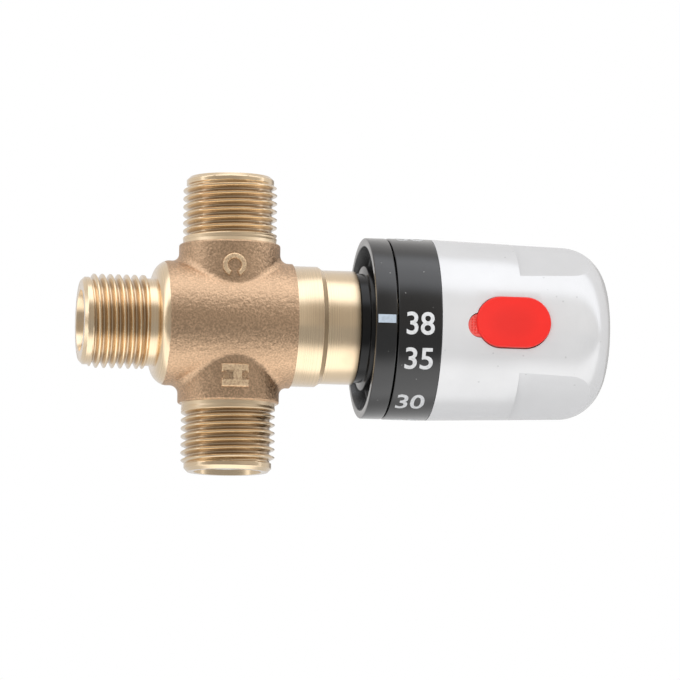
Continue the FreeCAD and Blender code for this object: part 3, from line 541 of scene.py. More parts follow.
# ---- Pipe threads --------------------------------------------------------------------------------
def thread_tree(finish):
    """Pipe end along +X from its end face: chamfered plain nose, right-hand thread, run-out.

    A closed sleeve: a grid of turns round the axis by rows along it, sheared by one pitch a turn so
    that its rows follow the thread, with the rows past either end folded onto the end."""
    piece = PieceTree("pipe_thread", {
        "end_radius": ("Float", 9.0 * MM), "major": ("Float", 10.4775 * MM), "pitch": ("Float", 1.814 * MM),
        "depth": ("Float", 1.162 * MM), "nose_radius": ("Float", 9.75 * MM), "nose": ("Float", 1.9 * MM),
        "nose_edge": ("Float", 0.75 * MM), "start": ("Float", 0.0), "length": ("Float", 14.1 * MM),
        "run_out": ("Float", RUN_OUT), "relief": ("Float", OUTLET_RELIEF), "inner": ("Float", SLEEVE_BORE),
        "turn_steps": ("Int", 120), "rows_per_pitch": ("Int", ROWS_PER_PITCH), "rows": ("Int", 120)})
    g, of = piece.graph, piece.given
    tall = of["rows"] + 3
    sheet = g.add("GeometryNodeMeshGrid", None, {
        "Size X": 1.0, "Size Y": 1.0, "Vertices X": of["turn_steps"] + 1, "Vertices Y": tall}, "Mesh")
    index = g.add("GeometryNodeInputIndex")
    row = index % tall
    turn = (index - row) / tall / of["turn_steps"]
    # Place along the pipe: a helix held within the sleeve's two ends.
    end = of["length"] + of["run_out"]
    step = of["pitch"] / of["rows_per_pitch"]
    run = (row - 2) * step - of["pitch"] + turn * of["pitch"] + of["start"]
    along = least(most(run, 0.0), end)
    # Radius: rounded crests and roots, fading out at the nose and the run-out, under the chamfers.
    phase = ((row - 2) / of["rows_per_pitch"]) % 1.0
    across = abs(phase * 2 - 1)
    flank = least(most((across - 0.17) / 0.66, 0.0), 1.0)
    root = flank * 0.6 + g.rise(across, 0.10, 0.90) * 0.4
    wanted = g.rise(along, of["nose"] * 0.6, of["nose"])
    wanted = wanted * g.rise(along, of["length"] - of["pitch"] * 0.45, of["length"], 1.0, 0.0)
    radius = of["major"] - of["depth"] * root * wanted
    edge = of["end_radius"] + (of["nose_radius"] - of["end_radius"]) * along / of["nose_edge"]
    step_up = (along - of["nose"]) / of["run_out"]
    lead = of["nose_radius"] + (of["major"] - of["nose_radius"]) * most(step_up, 0.0)
    slope = of["relief"] + (of["major"] - of["relief"]) * (end - along) / of["run_out"]
    radius = least(least(radius, slope), least(edge, lead))
    # The first two rows and the last one make the bore and close the ends.
    inside = most(row < 1.5, row > of["rows"] + 1.5)
    at_start = (row > 0.5) * (row < 1.5)
    along = along + inside * (end - at_start * (end - 0.02 * MM) - along)
    radius = radius + inside * (of["inner"] - radius)
    angle = turn * (2 * math.pi)
    spot = g.join(along, radius * angle.maths("COSINE", angle), radius * angle.maths("SINE", angle))
    shaped = g.add("GeometryNodeSetPosition", None, {"Geometry": sheet, "Position": spot})
    closed = g.add("GeometryNodeMergeByDistance", None, {"Geometry": shaped, "Distance": 0.001 * MM})
    piece.close(closed, finish)
    return piece


class MIXER_OT_pipe_threads(Operator):
    """The three male pipe ends, each a closed sleeve with a right-hand thread"""
    bl_idname = "mixer.pipe_threads"
    bl_label = "Pipe Threads"

    def execute(self, context):
        look = context.scene.mixing_valve_brass
        tree = thread_tree(brass_finish())
        cold = Matrix.Translation((PORT_X, 0, PORT_END)) @ Matrix.Rotation(math.radians(90), 4, "Y")
        hot = Matrix.Translation((PORT_X, 0, -PORT_END)) @ Matrix.Rotation(math.radians(-90), 4, "Y")
        ends = ((Matrix.Identity(4), look.outlet_thread, OUTLET_RELIEF, -0.37 * MM),
                (cold, look.inlet_thread, INLET_RELIEF, -0.99 * MM),
                (hot, look.inlet_thread, INLET_RELIEF, -0.78 * MM))
        sleeves = []
        for place, length, relief, start in ends:
            turns = (length + RUN_OUT + look.thread_pitch - start) / look.thread_pitch
            rows = int(turns * ROWS_PER_PITCH) + 3
            mesh = tree.mesh("sleeve", pitch=look.thread_pitch, depth=look.thread_depth, length=length,
                             relief=relief, start=start, rows=rows)
            builder = bmesh.new()
            builder.from_mesh(mesh)
            bmesh.ops.transform(builder, matrix=place, verts=builder.verts)
            bmesh.ops.recalc_face_normals(builder, faces=builder.faces)
            sleeves.append(builder)
        show("pipe_threads", mesh_from(joined(sleeves), "pipe_threads", 40.0), brass_finish(),
             "cast_brass", "root")
        return {"FINISHED"}


# ---- Valve body ----------------------------------------------------------------------------------
class MIXER_OT_valve_body(Operator):
    """The body casting, drawn in under the separate threads and rounded along its edges"""
    bl_idname = "mixer.valve_body"
    bl_label = "Valve Body"

    def execute(self, context):
        look = context.scene.mixing_valve_brass
        overlap = 0.2 * MM
        outlet_end = look.outlet_thread + overlap
        port_start = PORT_END - look.inlet_thread - overlap
        builder = merged("valve_body")
        for v in builder.verts:
            radius = math.hypot(v.co.y, v.co.z)
            if v.co.x < outlet_end and radius > BODY_CORE:
                v.co.y *= BODY_CORE / radius
                v.co.z *= BODY_CORE / radius
            across = v.co.x - PORT_X
            radius = math.hypot(across, v.co.y)
            if abs(v.co.z) > port_start and radius > BODY_CORE:
                v.co.x = PORT_X + across * BODY_CORE / radius
                v.co.y *= BODY_CORE / radius
        mesh = rounded(mesh_from(builder, "body_casting"), "body_casting", look.edge_round, sharp=32.0)
        show("body_casting", mesh, brass_finish(), "cast_brass", "root", "valve_body")
        return {"FINISHED"}


# ---- Raised letters and printed numerals ---------------------------------------------------------
def sliced(builder, direction, step):
    """Cuts a flat mesh into strips so that it can be wrapped round a cylinder."""
    spots = [v.co.dot(direction) for v in builder.verts]
    place = math.ceil(min(spots) / step) * step
    while place < max(spots):
        bmesh.ops.bisect_plane(builder, geom=builder.verts[:] + builder.edges[:] + builder.faces[:],
                               plane_co=direction * place, plane_no=direction)
        place += step


def slab(builder, low, high):
    """Gives a flat mesh facing +Z its thickness between two heights."""
    for v in builder.verts:
        v.co.z = low
    top = bmesh.ops.extrude_face_region(builder, geom=builder.faces[:])
    for item in top["geom"]:
        if isinstance(item, bmesh.types.BMVert):
            item.co.z = high
    bmesh.ops.recalc_face_normals(builder, faces=builder.faces)


def outline_mesh(outline):
    """Flat face of an outline."""
    builder = bmesh.new()
    builder.faces.new([builder.verts.new((u, v, 0.0)) for u, v in outline])
    return builder


def wrapped(builder, station, radius, turn=0.0):
    """Wraps a flat slab round the knob axis, its height becoming distance from the axis."""
    for v in builder.verts:
        around = turn + v.co.y / radius
        out = radius + v.co.z
        v.co = (station + v.co.x, -out * math.cos(around), out * math.sin(around))
    bmesh.ops.recalc_face_normals(builder, faces=builder.faces)


def letter_h(inset):
    """Outline of a capital H about the origin, drawn in by an inset; its bar sits off the middle."""
    side, top, stem = 2.6 * MM - inset, 3.05 * MM - inset, 1.95 * MM - 2 * inset
    inner = side - stem
    low, high = -0.5 * MM + inset, 1.6 * MM - inset
    return [(-side, -top), (-inner, -top), (-inner, low), (inner, low), (inner, -top), (side, -top),
            (side, top), (inner, top), (inner, high), (-inner, high), (-inner, top), (-side, top)]


def letter_c(inset):
    """Outline of a capital C about the origin, drawn in by an inset and open to the right."""
    outer, stroke, steps = 2.7 * MM - inset, 1.25 * MM - 2 * inset, 28
    first = math.radians(25.0) + inset / outer
    angles = [first + (2 * math.pi - 2 * first) * i / steps for i in range(steps + 1)]
    rings = [[(r * math.cos(a), r * math.sin(a)) for a in angles]
             for r in (outer, outer - stroke)]
    return rings[0] + rings[1][::-1]


def pillow(outline, steps, ribbon):
    """Closed solid with a rounded top: an outline at several heights, each drawn in by an inset.

    A ribbon's outline runs out along one side and back along the other, so quads close it."""
    builder = bmesh.new()
    rings = [[builder.verts.new((u, v, height)) for u, v in outline(inset)] for inset, height in steps]
    for low, high in zip(rings, rings[1:]):
        for i, start in enumerate(low):
            after = (i + 1) % len(low)
            builder.faces.new((start, low[after], high[after], high[i]))
    for ring in (rings[0], rings[-1]):
        if ribbon:
            for i in range(len(ring) // 2 - 1):
                builder.faces.new((ring[i], ring[i + 1], ring[-2 - i], ring[-1 - i]))
        else:
            builder.faces.new(ring)
    bmesh.ops.triangulate(builder, faces=builder.faces)
    if not ribbon:
        sliced(builder, Vector((0, 1, 0)), 0.45 * MM)
    return builder


class MIXER_OT_raised_letters(Operator):
    """C and H cast on the inlet bosses, their tops towards the knob"""
    bl_idname = "mixer.raised_letters"
    bl_label = "Raised Letters"

    def execute(self, context):
        look = context.scene.mixing_valve_brass
        top = look.letter_height
        root = -0.3 * MM
        steps = ((0.0, root), (0.0, top * 0.2), (0.1 * MM, top * 0.7), (0.24 * MM, top * 0.94),
                 (0.38 * MM, top))
        aside = 0.12 * MM
        letters = []
        for outline, ribbon, along, middle in ((letter_c, True, -0.4 * MM, 12.05 * MM),
                                               (letter_h, False, 0.0, -12.5 * MM)):
            builder = pillow(outline, steps, ribbon)
            for v in builder.verts:
                radius = look.boss_radius + v.co.z
                turn = (v.co.y - aside) / look.boss_radius
                v.co = (PORT_X + along + radius * math.sin(turn), -radius * math.cos(turn), middle - v.co.x)
            bmesh.ops.recalc_face_normals(builder, faces=builder.faces)
            letters.append(builder)
        show("raised_letters", mesh_from(joined(letters), "raised_letters", 58.0), rubbed_finish(),
             "cast_brass", "root")
        return {"FINISHED"}


# Each number on the dial, its turn from the button's side in degrees, and its shift along the knob.
NUMERALS = ((20, -128.5, 0.0), (25, -94.0, 0.0), (30, -59.1, -0.5 * MM), (35, -24.9, 0.0), (38, -2.4, 0.0),
            (50, 78.6, 0.0))
PRINT_ROOT = -0.1 * MM
PRINT_TOP = 0.03 * MM


def printed(text, width, height, station, turn, radius):
    """Numerals printed round the knob axis, read along +X, their tops towards the hotter side."""
    curve = bpy.data.curves.new("numeral", "FONT")
    curve.body = text
    curve.size = 10 * MM
    curve.resolution_u = 6
    curve.offset = 0.13 * MM
    holder = bpy.data.objects.new("numeral", curve)
    bpy.context.scene.collection.objects.link(holder)
    ready = bpy.context.evaluated_depsgraph_get()
    flat = bpy.data.meshes.new_from_object(holder.evaluated_get(ready))
    bpy.data.objects.remove(holder)
    builder = bmesh.new()
    builder.from_mesh(flat)
    bmesh.ops.remove_doubles(builder, verts=builder.verts, dist=0.002 * MM)
    xs = [v.co.x for v in builder.verts]
    ys = [v.co.y for v in builder.verts]
    for v in builder.verts:
        v.co.x = (v.co.x - (min(xs) + max(xs)) / 2) * width / (max(xs) - min(xs))
        v.co.y = (v.co.y - (min(ys) + max(ys)) / 2) * height / (max(ys) - min(ys))
    sliced(builder, Vector((0, 1, 0)), 0.5 * MM)
    slab(builder, PRINT_ROOT, PRINT_TOP)
    wrapped(builder, station, radius, turn)
    return builder


class MIXER_OT_dial_numerals(Operator):
    """White numerals of the temperature scale round the dial ring"""
    bl_idname = "mixer.dial_numerals"
    bl_label = "Dial Numerals"

    def execute(self, context):
        look = context.scene.mixing_valve_knob
        station = DIAL_LOW.x + look.numeral_start + look.numeral_width / 2
        numerals = [printed(str(degrees), look.numeral_width, look.numeral_height, station + shift,
                            math.radians(turn), DIAL_HIGH.y)
                    for degrees, turn, shift in NUMERALS]
        show("dial_numerals", mesh_from(joined(numerals), "dial_numerals"),
             print_finish("numeral_print", look.print_colour), "white_plastic", "knob")
        return {"FINISHED"}


class MIXER_OT_index_mark(Operator):
    """White line across the index ring that the temperature is read against"""
    bl_idname = "mixer.index_mark"
    bl_label = "Index Mark"

    def execute(self, context):
        look = context.scene.mixing_valve_knob
        far, wide = look.mark_length / 2, look.mark_width / 2
        builder = outline_mesh([(-far, -wide), (far, -wide), (far, wide), (-far, wide)])
        sliced(builder, Vector((0, 1, 0)), 0.3 * MM)
        slab(builder, PRINT_ROOT, PRINT_TOP)
        wrapped(builder, DIAL_LOW.x - look.mark_place, INDEX_HIGH.y)
        show("index_mark", mesh_from(builder, "index_mark"), print_finish("mark_print", look.mark_colour),
             "white_plastic", "root")
        return {"FINISHED"}


# ---- Knob ----------------------------------------------------------------------------------------
class MIXER_OT_rings(Operator):
    """The still index ring and the dial ring that turns with the handle"""
    bl_idname = "mixer.rings"
    bl_label = "Index and Dial Rings"

    def execute(self, context):
        finish = black_finish()
        for node, body in (("index_ring", "root"), ("dial_ring", "knob")):
            name = node + "_moulding"
            mesh = rounded(mesh_from(merged(node), name), name, 0.12 * MM)
            show(name, mesh, finish, "black_plastic", body, node)
        return {"FINISHED"}


class MIXER_OT_handle(Operator):
    """The handle and its end cap in satin silver"""
    bl_idname = "mixer.handle"
    bl_label = "Handle"

    def execute(self, context):
        finish = silver_finish()
        for node, width in (("handle_shell", 0.3 * MM), ("end_cap", 0.2 * MM)):
            name = node + "_satin"
            mesh = rounded(mesh_from(merged(node), name), name, width, 24.0, 3)
            show(name, mesh, finish, "satin_silver", "knob", node)
        return {"FINISHED"}


class MIXER_OT_safety_button(Operator):
    """The red button that is pressed to pass 38 degrees"""
    bl_idname = "mixer.safety_button"
    bl_label = "Safety Button"

    def execute(self, context):
        builder = merged("safety_button")
        straight, swell, pad_depth, rim = 2.7 * MM, 0.14 * MM, 1.6 * MM, 2.0 * MM
        for v in builder.verts:
            reach = v.co.x - PAD_X
            out = Vector((reach - max(-straight, min(straight, reach)), 0, v.co.z))
            if v.co.y < BUTTON_LOW.y + pad_depth and out.length > rim:
                # The pad fills its hole all round, except at its lower edge.
                out.normalize()
                v.co += out * swell * min(1.0, max(0.0, 1.6 + 1.6 * out.z))
        mesh = mesh_from(builder, "button_moulding")
        mesh = rounded(mesh, "button_moulding", 0.15 * MM, 40.0)
        show("button_moulding", mesh, red_finish(), "red_plastic", "button", "safety_button")
        return {"FINISHED"}


def rib_tree(finish):
    """Grip of small pyramids on the tongue: a grid of points, each with a four-sided cone."""
    piece = PieceTree("tongue_grip", {
        "radius": ("Float", 2.3 * MM), "pitch": ("Float", 0.6 * MM), "height": ("Float", 0.25 * MM),
        "station": ("Float", 0.0), "top": ("Float", 0.0), "shift": ("Float", 0.0), "clear": ("Float", 0.0),
        "count": ("Int", 9)})
    g, of = piece.graph, piece.given
    span = of["pitch"] * (of["count"] - 1)
    points = g.add("GeometryNodeMeshGrid", None, {
        "Size X": span, "Size Y": span, "Vertices X": of["count"], "Vertices Y": of["count"]}, "Mesh")
    u, v, w = g.split(g.add("GeometryNodeInputPosition"))
    outside = (u * u + v * v) ** 0.5 > of["radius"]
    under = u + of["station"] > of["clear"]
    kept = g.add("GeometryNodeDeleteGeometry", {"domain": "POINT"}, {
        "Geometry": points, "Selection": most(outside, under)})
    cone = g.add("GeometryNodeMeshCone", None, {
        "Vertices": 4, "Radius Top": of["pitch"] * 0.16, "Radius Bottom": of["pitch"] * 0.56,
        "Depth": of["height"]}, "Mesh")
    grown = g.add("GeometryNodeInstanceOnPoints", None, {
        "Points": kept, "Instance": cone, "Rotation": (0.0, 0.0, math.radians(45.0))})
    turned = g.add("GeometryNodeTransform", None, {
        "Geometry": grown, "Translation": g.join(of["station"], of["top"], of["shift"]),
        "Rotation": (math.radians(90.0), 0.0, 0.0)})
    piece.close(turned, finish)
    return piece


class MIXER_OT_tongue_grip(Operator):
    """Rows of small pyramids on the low tongue of the safety button"""
    bl_idname = "mixer.tongue_grip"
    bl_label = "Tongue Grip"

    def execute(self, context):
        look = context.scene.mixing_valve_knob
        mesh = rib_tree(red_finish()).mesh(
            "tongue_grip", pitch=look.rib_pitch, station=TONGUE_X, top=BUTTON_LOW.y + 1.1 * MM,
            shift=-0.8 * MM, clear=TONGUE_X - 0.1 * MM)
        builder = bmesh.new()
        builder.from_mesh(mesh)
        bmesh.ops.recalc_face_normals(builder, faces=builder.faces)
        show("tongue_grip", mesh_from(builder, "tongue_grip", 25.0), red_finish(), "red_plastic", "button")
        return {"FINISHED"}


# ---- Inside --------------------------------------------------------------------------------------
def wire_tree(finish):
    """Round mesh of crossed wires in the XY plane."""
    piece = PieceTree("strainer_wires", {
        "radius": ("Float", 6.7 * MM), "pitch": ("Float", 0.75 * MM), "wire": ("Float", 0.11 * MM),
        "count": ("Int", 17)})
    g, of = piece.graph, piece.given
    span = of["pitch"] * (of["count"] - 1)
    line = g.add("GeometryNodeMeshGrid", None, {
        "Size X": span, "Size Y": 0.0, "Vertices X": of["count"], "Vertices Y": 2}, "Mesh")
    index = g.add("GeometryNodeInputIndex")
    row = g.add("GeometryNodeDeleteGeometry", {"domain": "POINT"}, {
        "Geometry": line, "Selection": (index % 2) > 0.5})
    u, v, w = g.split(g.add("GeometryNodeInputPosition"))
    half = most(of["radius"] * of["radius"] - u * u, 0.0) ** 0.5
    wire = g.add("GeometryNodeMeshCylinder", None, {
        "Vertices": 6, "Side Segments": 1, "Radius": 1.0, "Depth": 2.0}, "Mesh")
    laid = g.add("GeometryNodeInstanceOnPoints", None, {
        "Points": row, "Instance": wire, "Rotation": (math.radians(90.0), 0.0, 0.0),
        "Scale": g.join(of["wire"], of["wire"], half)})
    across = g.add("GeometryNodeTransform", None, {
        "Geometry": laid, "Translation": g.join(0.0, 0.0, of["wire"] * 1.7),
        "Rotation": (0.0, 0.0, math.radians(90.0))})
    both = g.add("GeometryNodeJoinGeometry")
    g.tree.links.new(laid.socket, both.socket.node.inputs[0])
    g.tree.links.new(across.socket, both.socket.node.inputs[0])
    piece.close(both, finish)
    return piece


# The strainer's rim in section: how far in from the edge, and the height over its seat.
RIM = ((0.0, 0.0), (0.0, 0.6 * MM), (0.25 * MM, 0.8 * MM), (0.85 * MM, 0.8 * MM), (1.1 * MM, 0.6 * MM),
       (1.1 * MM, 0.0))


def rim(builder, radius, steps=64):
    """Adds a strainer's rim, its section swept round the Z axis."""
    sections = []
    for i in range(steps):
        turn = 2 * math.pi * i / steps
        sections.append([builder.verts.new(((radius - inset) * math.cos(turn),
                                            (radius - inset) * math.sin(turn), height))
                         for inset, height in RIM])
    for near, far in zip(sections, sections[1:] + sections[:1]):
        for a in range(len(RIM)):
            b = (a + 1) % len(RIM)
            builder.faces.new((near[a], near[b], far[b], far[a]))


class MIXER_OT_strainers(Operator):
    """The stainless strainers in the inlets: a rim and a mesh of wires"""
    bl_idname = "mixer.strainers"
    bl_label = "Strainers"

    def execute(self, context):
        finish = steel_finish()
        wires = wire_tree(finish).mesh("wires")
        wire_height = 0.35 * MM
        radius = (STRAINER_HIGH.x - STRAINER_LOW.x) / 2
        cold = Matrix.Translation((PORT_X, 0, STRAINER_LOW.z))
        hot = Matrix.Translation((PORT_X, 0, -STRAINER_LOW.z)) @ Matrix.Rotation(math.pi, 4, "X")
        for node, place in (("cold_strainer", cold), ("hot_strainer", hot)):
            builder = bmesh.new()
            builder.from_mesh(wires)
            bmesh.ops.transform(builder, verts=builder.verts, matrix=Matrix.Translation((0, 0, wire_height)))
            rim(builder, radius)
            bmesh.ops.recalc_face_normals(builder, faces=builder.faces)
            bmesh.ops.transform(builder, matrix=place, verts=builder.verts)
            name = node + "_wire"
            show(name, mesh_from(builder, name), finish, "stainless_steel", "root", node)
        return {"FINISHED"}


class MIXER_OT_inside(Operator):
    """Finishes of the cartridge, check valves, spindle and fasteners, which keep their CAD shapes"""
    bl_idname = "mixer.inside"
    bl_label = "Inside Parts"

    def execute(self, context):
        finishes = {
            "turned_brass": turned_brass_finish(),
            "stainless_steel": steel_finish(),
            "rubber": moulded_finish("seal_rubber", (0.018, 0.018, 0.018), 0.55),
            "white_plastic": moulded_finish("white_moulding", (0.74, 0.73, 0.70)),
            "grey_plastic": moulded_finish("grey_moulding", (0.30, 0.31, 0.32)),
        }
        for part in frame["record"]["subparts"]:
            node = frame["nodes"][part["node"]]
            if part["material_slot"] in finishes and not node.hide_render:
                node.data.materials.clear()
                node.data.materials.append(finishes[part["material_slot"]])
        return {"FINISHED"}


# ---- Stage ---------------------------------------------------------------------------------------
def aim(spot, target, roll=0.0):
    """Placement at spot that looks at target."""
    back = (spot - target).normalized()
    side = Vector((0, 0, 1)).cross(back).normalized()
    up = back.cross(side)
    turn = Matrix((side, up, back)).transposed().to_4x4()
    return Matrix.Translation(spot) @ turn @ Matrix.Rotation(roll, 4, "Z")


def lamp(name, spot, target, wide, tall, power):
    """Rectangular lamp at a spot, turned to a target."""
    light = bpy.data.lights.new(name, "AREA")
    light.shape = "RECTANGLE"
    light.size = wide
    light.size_y = tall
    light.energy = power
    holder = bpy.data.objects.new(name, light)
    bpy.context.scene.collection.objects.link(holder)
    holder.matrix_world = aim(Vector(spot), Vector(target))
    return holder


def studio_world():
    """Even soft light, and surroundings that metal mirrors: dim front, bright band above, pale back,
    and a dark doorway behind the knob. Seen straight on it is white."""
    world = bpy.data.worlds.new("studio")
    world.use_nodes = True
    g = Graph(world.node_tree)
    g.tree.nodes.clear()
    look = bpy.context.scene.mixing_valve_stage
    x, y, z = g.split(g.add("ShaderNodeTexCoord", out="Generated"))
    over = z.maths("ARCTAN2", z, 0 - y)
    aside = x.maths("ARCTAN2", x, 0 - y)
    level = g.swing(aside, -82, -56, look.side_level, look.front_level)
    level = level + g.swing(aside, 6, 36, 0.0, look.right_level - look.front_level)
    band = g.swing(over, 35, 59) * g.swing(over, 86, 110, 1.0, 0.0)
    level = level + band * (look.band_level - level)
    level = level + g.swing(abs(over), 95, 115) * (look.back_level - level)
    door = g.swing(aside, 128, 140) * (aside < math.radians(158)) * (abs(z) < 0.35)
    level = level * (1 - door * 0.6)
    tint = g.blend(g.rise(level, 0.45, 1.1), (1.05, 1.0, 0.94, 1.0), (0.97, 0.985, 1.02, 1.0))
    camera, through, diffuse = g.add("ShaderNodeLightPath", out=(
        "Is Camera Ray", "Is Transmission Ray", "Is Diffuse Ray"))
    seen = most(camera, through)
    level = level + diffuse * (look.even_level - level)
    room = g.add("ShaderNodeBackground", None, {"Color": tint, "Strength": level})
    plain = g.add("ShaderNodeBackground", None, {"Color": (1.0, 1.0, 1.0, 1.0), "Strength": 1.0})
    both = g.add("ShaderNodeMixShader", None, {0: seen, 1: room, 2: plain})
    g.add("ShaderNodeOutputWorld", None, {"Surface": both})
    bpy.context.scene.world = world


def floor_finish():
    """Pale floor that metal above it mirrors as a lit sheet, dimmer towards the front and back."""
    look = bpy.context.scene.mixing_valve_stage
    g = fresh_graph("pale_floor")
    spot, x, y, z = g.place()
    tone = g.noise(spot, 6.0, 2.0)
    pale = g.blend(tone, (0.85, 0.85, 0.85, 1.0), (0.88, 0.88, 0.88, 1.0))
    finish = material(g, pale, 0.9)
    deep = look.floor_depth
    front = g.rise(y, deep * -1.35, deep * -0.5, look.front_level, look.floor_level)
    level = front + g.rise(y, deep * 0.02, deep * 0.45) * (look.back_level - front)
    lit = g.add("ShaderNodeEmission", None, {"Color": g.join(level, level, level), "Strength": 1.0})
    mirrored = g.add("ShaderNodeLightPath", out="Is Glossy Ray")
    end = g.tree.nodes["Material Output"]
    shader = Value(g, g.tree.nodes["Principled BSDF"].outputs[0])
    both = g.add("ShaderNodeMixShader", None, {0: mirrored, 1: shader, 2: lit})
    g.plug(end.inputs["Surface"], both)
    return finish


def lay_floor(look):
    """Wide pale floor below the part."""
    builder = bmesh.new()
    bmesh.ops.create_grid(builder, x_segments=8, y_segments=8, size=4.0,
                          matrix=Matrix.Translation((0, 0, -look.floor_depth)))
    mesh = bpy.data.meshes.new("floor")
    builder.to_mesh(mesh)
    builder.free()
    mesh.materials.append(floor_finish())
    floor = bpy.data.objects.new("floor", mesh)
    bpy.context.scene.collection.objects.link(floor)


def place_camera(look):
    """Long lens from the button's side, a little below the part."""
    swing, rise = look.azimuth, look.elevation
    back = Vector((math.sin(swing) * math.cos(rise), -math.cos(swing) * math.cos(rise), math.sin(rise)))
    side = Vector((0, 0, 1)).cross(back).normalized()
    up = back.cross(side)
    target = Vector((PORT_X, 0, 0)) + side * look.aim_right + up * look.aim_up
    data = bpy.data.cameras.new("camera")
    data.angle = look.field_of_view
    data.clip_start = 0.01
    camera = bpy.data.objects.new("camera", data)
    bpy.context.scene.collection.objects.link(camera)
    camera.matrix_world = aim(target + back * look.distance, target, look.roll)
    bpy.context.scene.camera = camera


class MIXER_OT_stage(Operator):
    """Floor, lamp, surroundings and camera"""
    bl_idname = "mixer.stage"
    bl_label = "Stage"

    def execute(self, context):
        look = context.scene.mixing_valve_stage
        lay_floor(look)
        place_camera(look)
        fill = lamp("front_fill", (-0.1, -1.3, 0.2), (0.06, 0.0, 0.0), 1.0, 1.0, look.lamp_power)
        fill.visible_glossy = False
        studio_world()
        context.scene.view_settings.view_transform = "Standard"
        return {"FINISHED"}


# ---- Sizes and colours ---------------------------------------------------------------------------
class MixerBrass(PropertyGroup):
    """The body casting"""
    thread_pitch: FloatProperty(name="Thread Pitch", description="G 1/2: fourteen threads an inch",
                                default=1.814 * MM, subtype="DISTANCE", unit="LENGTH", precision=6)
    thread_depth: FloatProperty(name="Thread Depth", description="From crest to root",
                                default=1.162 * MM, subtype="DISTANCE", unit="LENGTH", precision=6)
    outlet_thread: FloatProperty(name="Outlet Thread", description="From the end face to the run-out",
                                 default=14.1 * MM, subtype="DISTANCE", unit="LENGTH", precision=6)
    inlet_thread: FloatProperty(name="Inlet Thread", description="From the end face to the run-out",
                                default=13.9 * MM, subtype="DISTANCE", unit="LENGTH", precision=6)
    shoulder_end: FloatProperty(name="Shoulder End", description="Where turning gives way to casting",
                                default=18.5 * MM, subtype="DISTANCE", unit="LENGTH", precision=6)
    collar_start: FloatProperty(name="Collar Start", description="Where the turned collar begins",
                                default=47.1 * MM, subtype="DISTANCE", unit="LENGTH", precision=6)
    bevel_start: FloatProperty(name="Bevel Start", description="Where the collar's bevel begins",
                               default=52.75 * MM, subtype="DISTANCE", unit="LENGTH", precision=6)
    bevel_width: FloatProperty(name="Bevel Width", description="Of the collar's bevel, along the knob axis",
                               default=1.2 * MM, subtype="DISTANCE", unit="LENGTH", precision=6)
    boss_end: FloatProperty(name="Boss End", description="Height at which the turned port ends begin",
                            default=17.8 * MM, subtype="DISTANCE", unit="LENGTH", precision=6)
    boss_radius: FloatProperty(name="Boss Radius", description="Radius of the inlet bosses",
                               default=11.3 * MM, subtype="DISTANCE", unit="LENGTH", precision=6)
    letter_height: FloatProperty(name="Letter Height", description="How far the letters stand out",
                                 default=0.6 * MM, subtype="DISTANCE", unit="LENGTH", precision=6)
    film: FloatProperty(name="Film", description="Thin oil left on the turned brass", default=0.9,
                        min=0.0, max=1.0, subtype="FACTOR")
    edge_round: FloatProperty(name="Edge Rounding", description="Width of the broken edges",
                              default=0.12 * MM, subtype="DISTANCE", unit="LENGTH", precision=6)
    cast_colour: FloatVectorProperty(name="Cast Colour", description="Blasted brass", subtype="COLOR",
                                     size=3, min=0.0, max=1.0, default=(0.68, 0.46, 0.292))
    turned_colour: FloatVectorProperty(name="Turned Colour", description="Machined brass", subtype="COLOR",
                                       size=3, min=0.0, max=1.0, default=(0.90, 0.70, 0.46))


class MixerKnob(PropertyGroup):
    """The rings, handle and button"""
    silver_colour: FloatVectorProperty(name="Silver Colour", description="Satin plating", subtype="COLOR",
                                       size=3, min=0.0, max=1.0, default=(0.73, 0.735, 0.745))
    silver_metallic: FloatProperty(name="Silver Metallic", description="Share that mirrors as metal",
                                   default=0.2, min=0.0, max=1.0, subtype="FACTOR")
    silver_roughness: FloatProperty(name="Silver Roughness", description="Spread of its reflections",
                                    default=0.18, min=0.0, max=1.0, subtype="FACTOR")
    black_colour: FloatVectorProperty(name="Black Colour", description="Moulded rings", subtype="COLOR",
                                      size=3, min=0.0, max=1.0, default=(0.003, 0.003, 0.0032))
    print_colour: FloatVectorProperty(name="Print Colour", description="Numerals", subtype="COLOR",
                                      size=3, min=0.0, max=1.0, default=(0.70, 0.715, 0.73))
    mark_colour: FloatVectorProperty(name="Mark Colour", description="Line on the index ring",
                                     subtype="COLOR", size=3, min=0.0, max=1.0,
                                     default=(0.47, 0.55, 0.64))
    mark_length: FloatProperty(name="Mark Length", description="Of the line along the knob axis",
                               default=4.0 * MM, subtype="DISTANCE", unit="LENGTH", precision=6)
    mark_width: FloatProperty(name="Mark Width", description="Of the line round the ring",
                              default=1.85 * MM, subtype="DISTANCE", unit="LENGTH", precision=6)
    mark_place: FloatProperty(name="Mark Place", description="From the dial ring to the line's middle",
                              default=2.65 * MM, subtype="DISTANCE", unit="LENGTH", precision=6)
    red_colour: FloatVectorProperty(name="Button Colour", description="Pad of the button", subtype="COLOR",
                                    size=3, min=0.0, max=1.0, default=(0.86, 0.013, 0.006))
    # Paler red painted on the tongue as a sheen.
    tongue_colour: FloatVectorProperty(name="Tongue Colour", description="Low end of the button",
                                       subtype="COLOR", size=3, min=0.0, max=1.0,
                                       default=(0.86, 0.130, 0.110))
    numeral_width: FloatProperty(name="Numeral Width", description="Of two figures", default=6.3 * MM,
                                 subtype="DISTANCE", unit="LENGTH", precision=6)
    numeral_height: FloatProperty(name="Numeral Height", description="Of the figures", default=5.1 * MM,
                                  subtype="DISTANCE", unit="LENGTH", precision=6)
    numeral_start: FloatProperty(name="Numeral Start", description="From the edge of the dial ring",
                                 default=1.7 * MM, subtype="DISTANCE", unit="LENGTH", precision=6)
    rib_pitch: FloatProperty(name="Grip Pitch", description="Between the grip's rows", default=0.6 * MM,
                             subtype="DISTANCE", unit="LENGTH", precision=6)


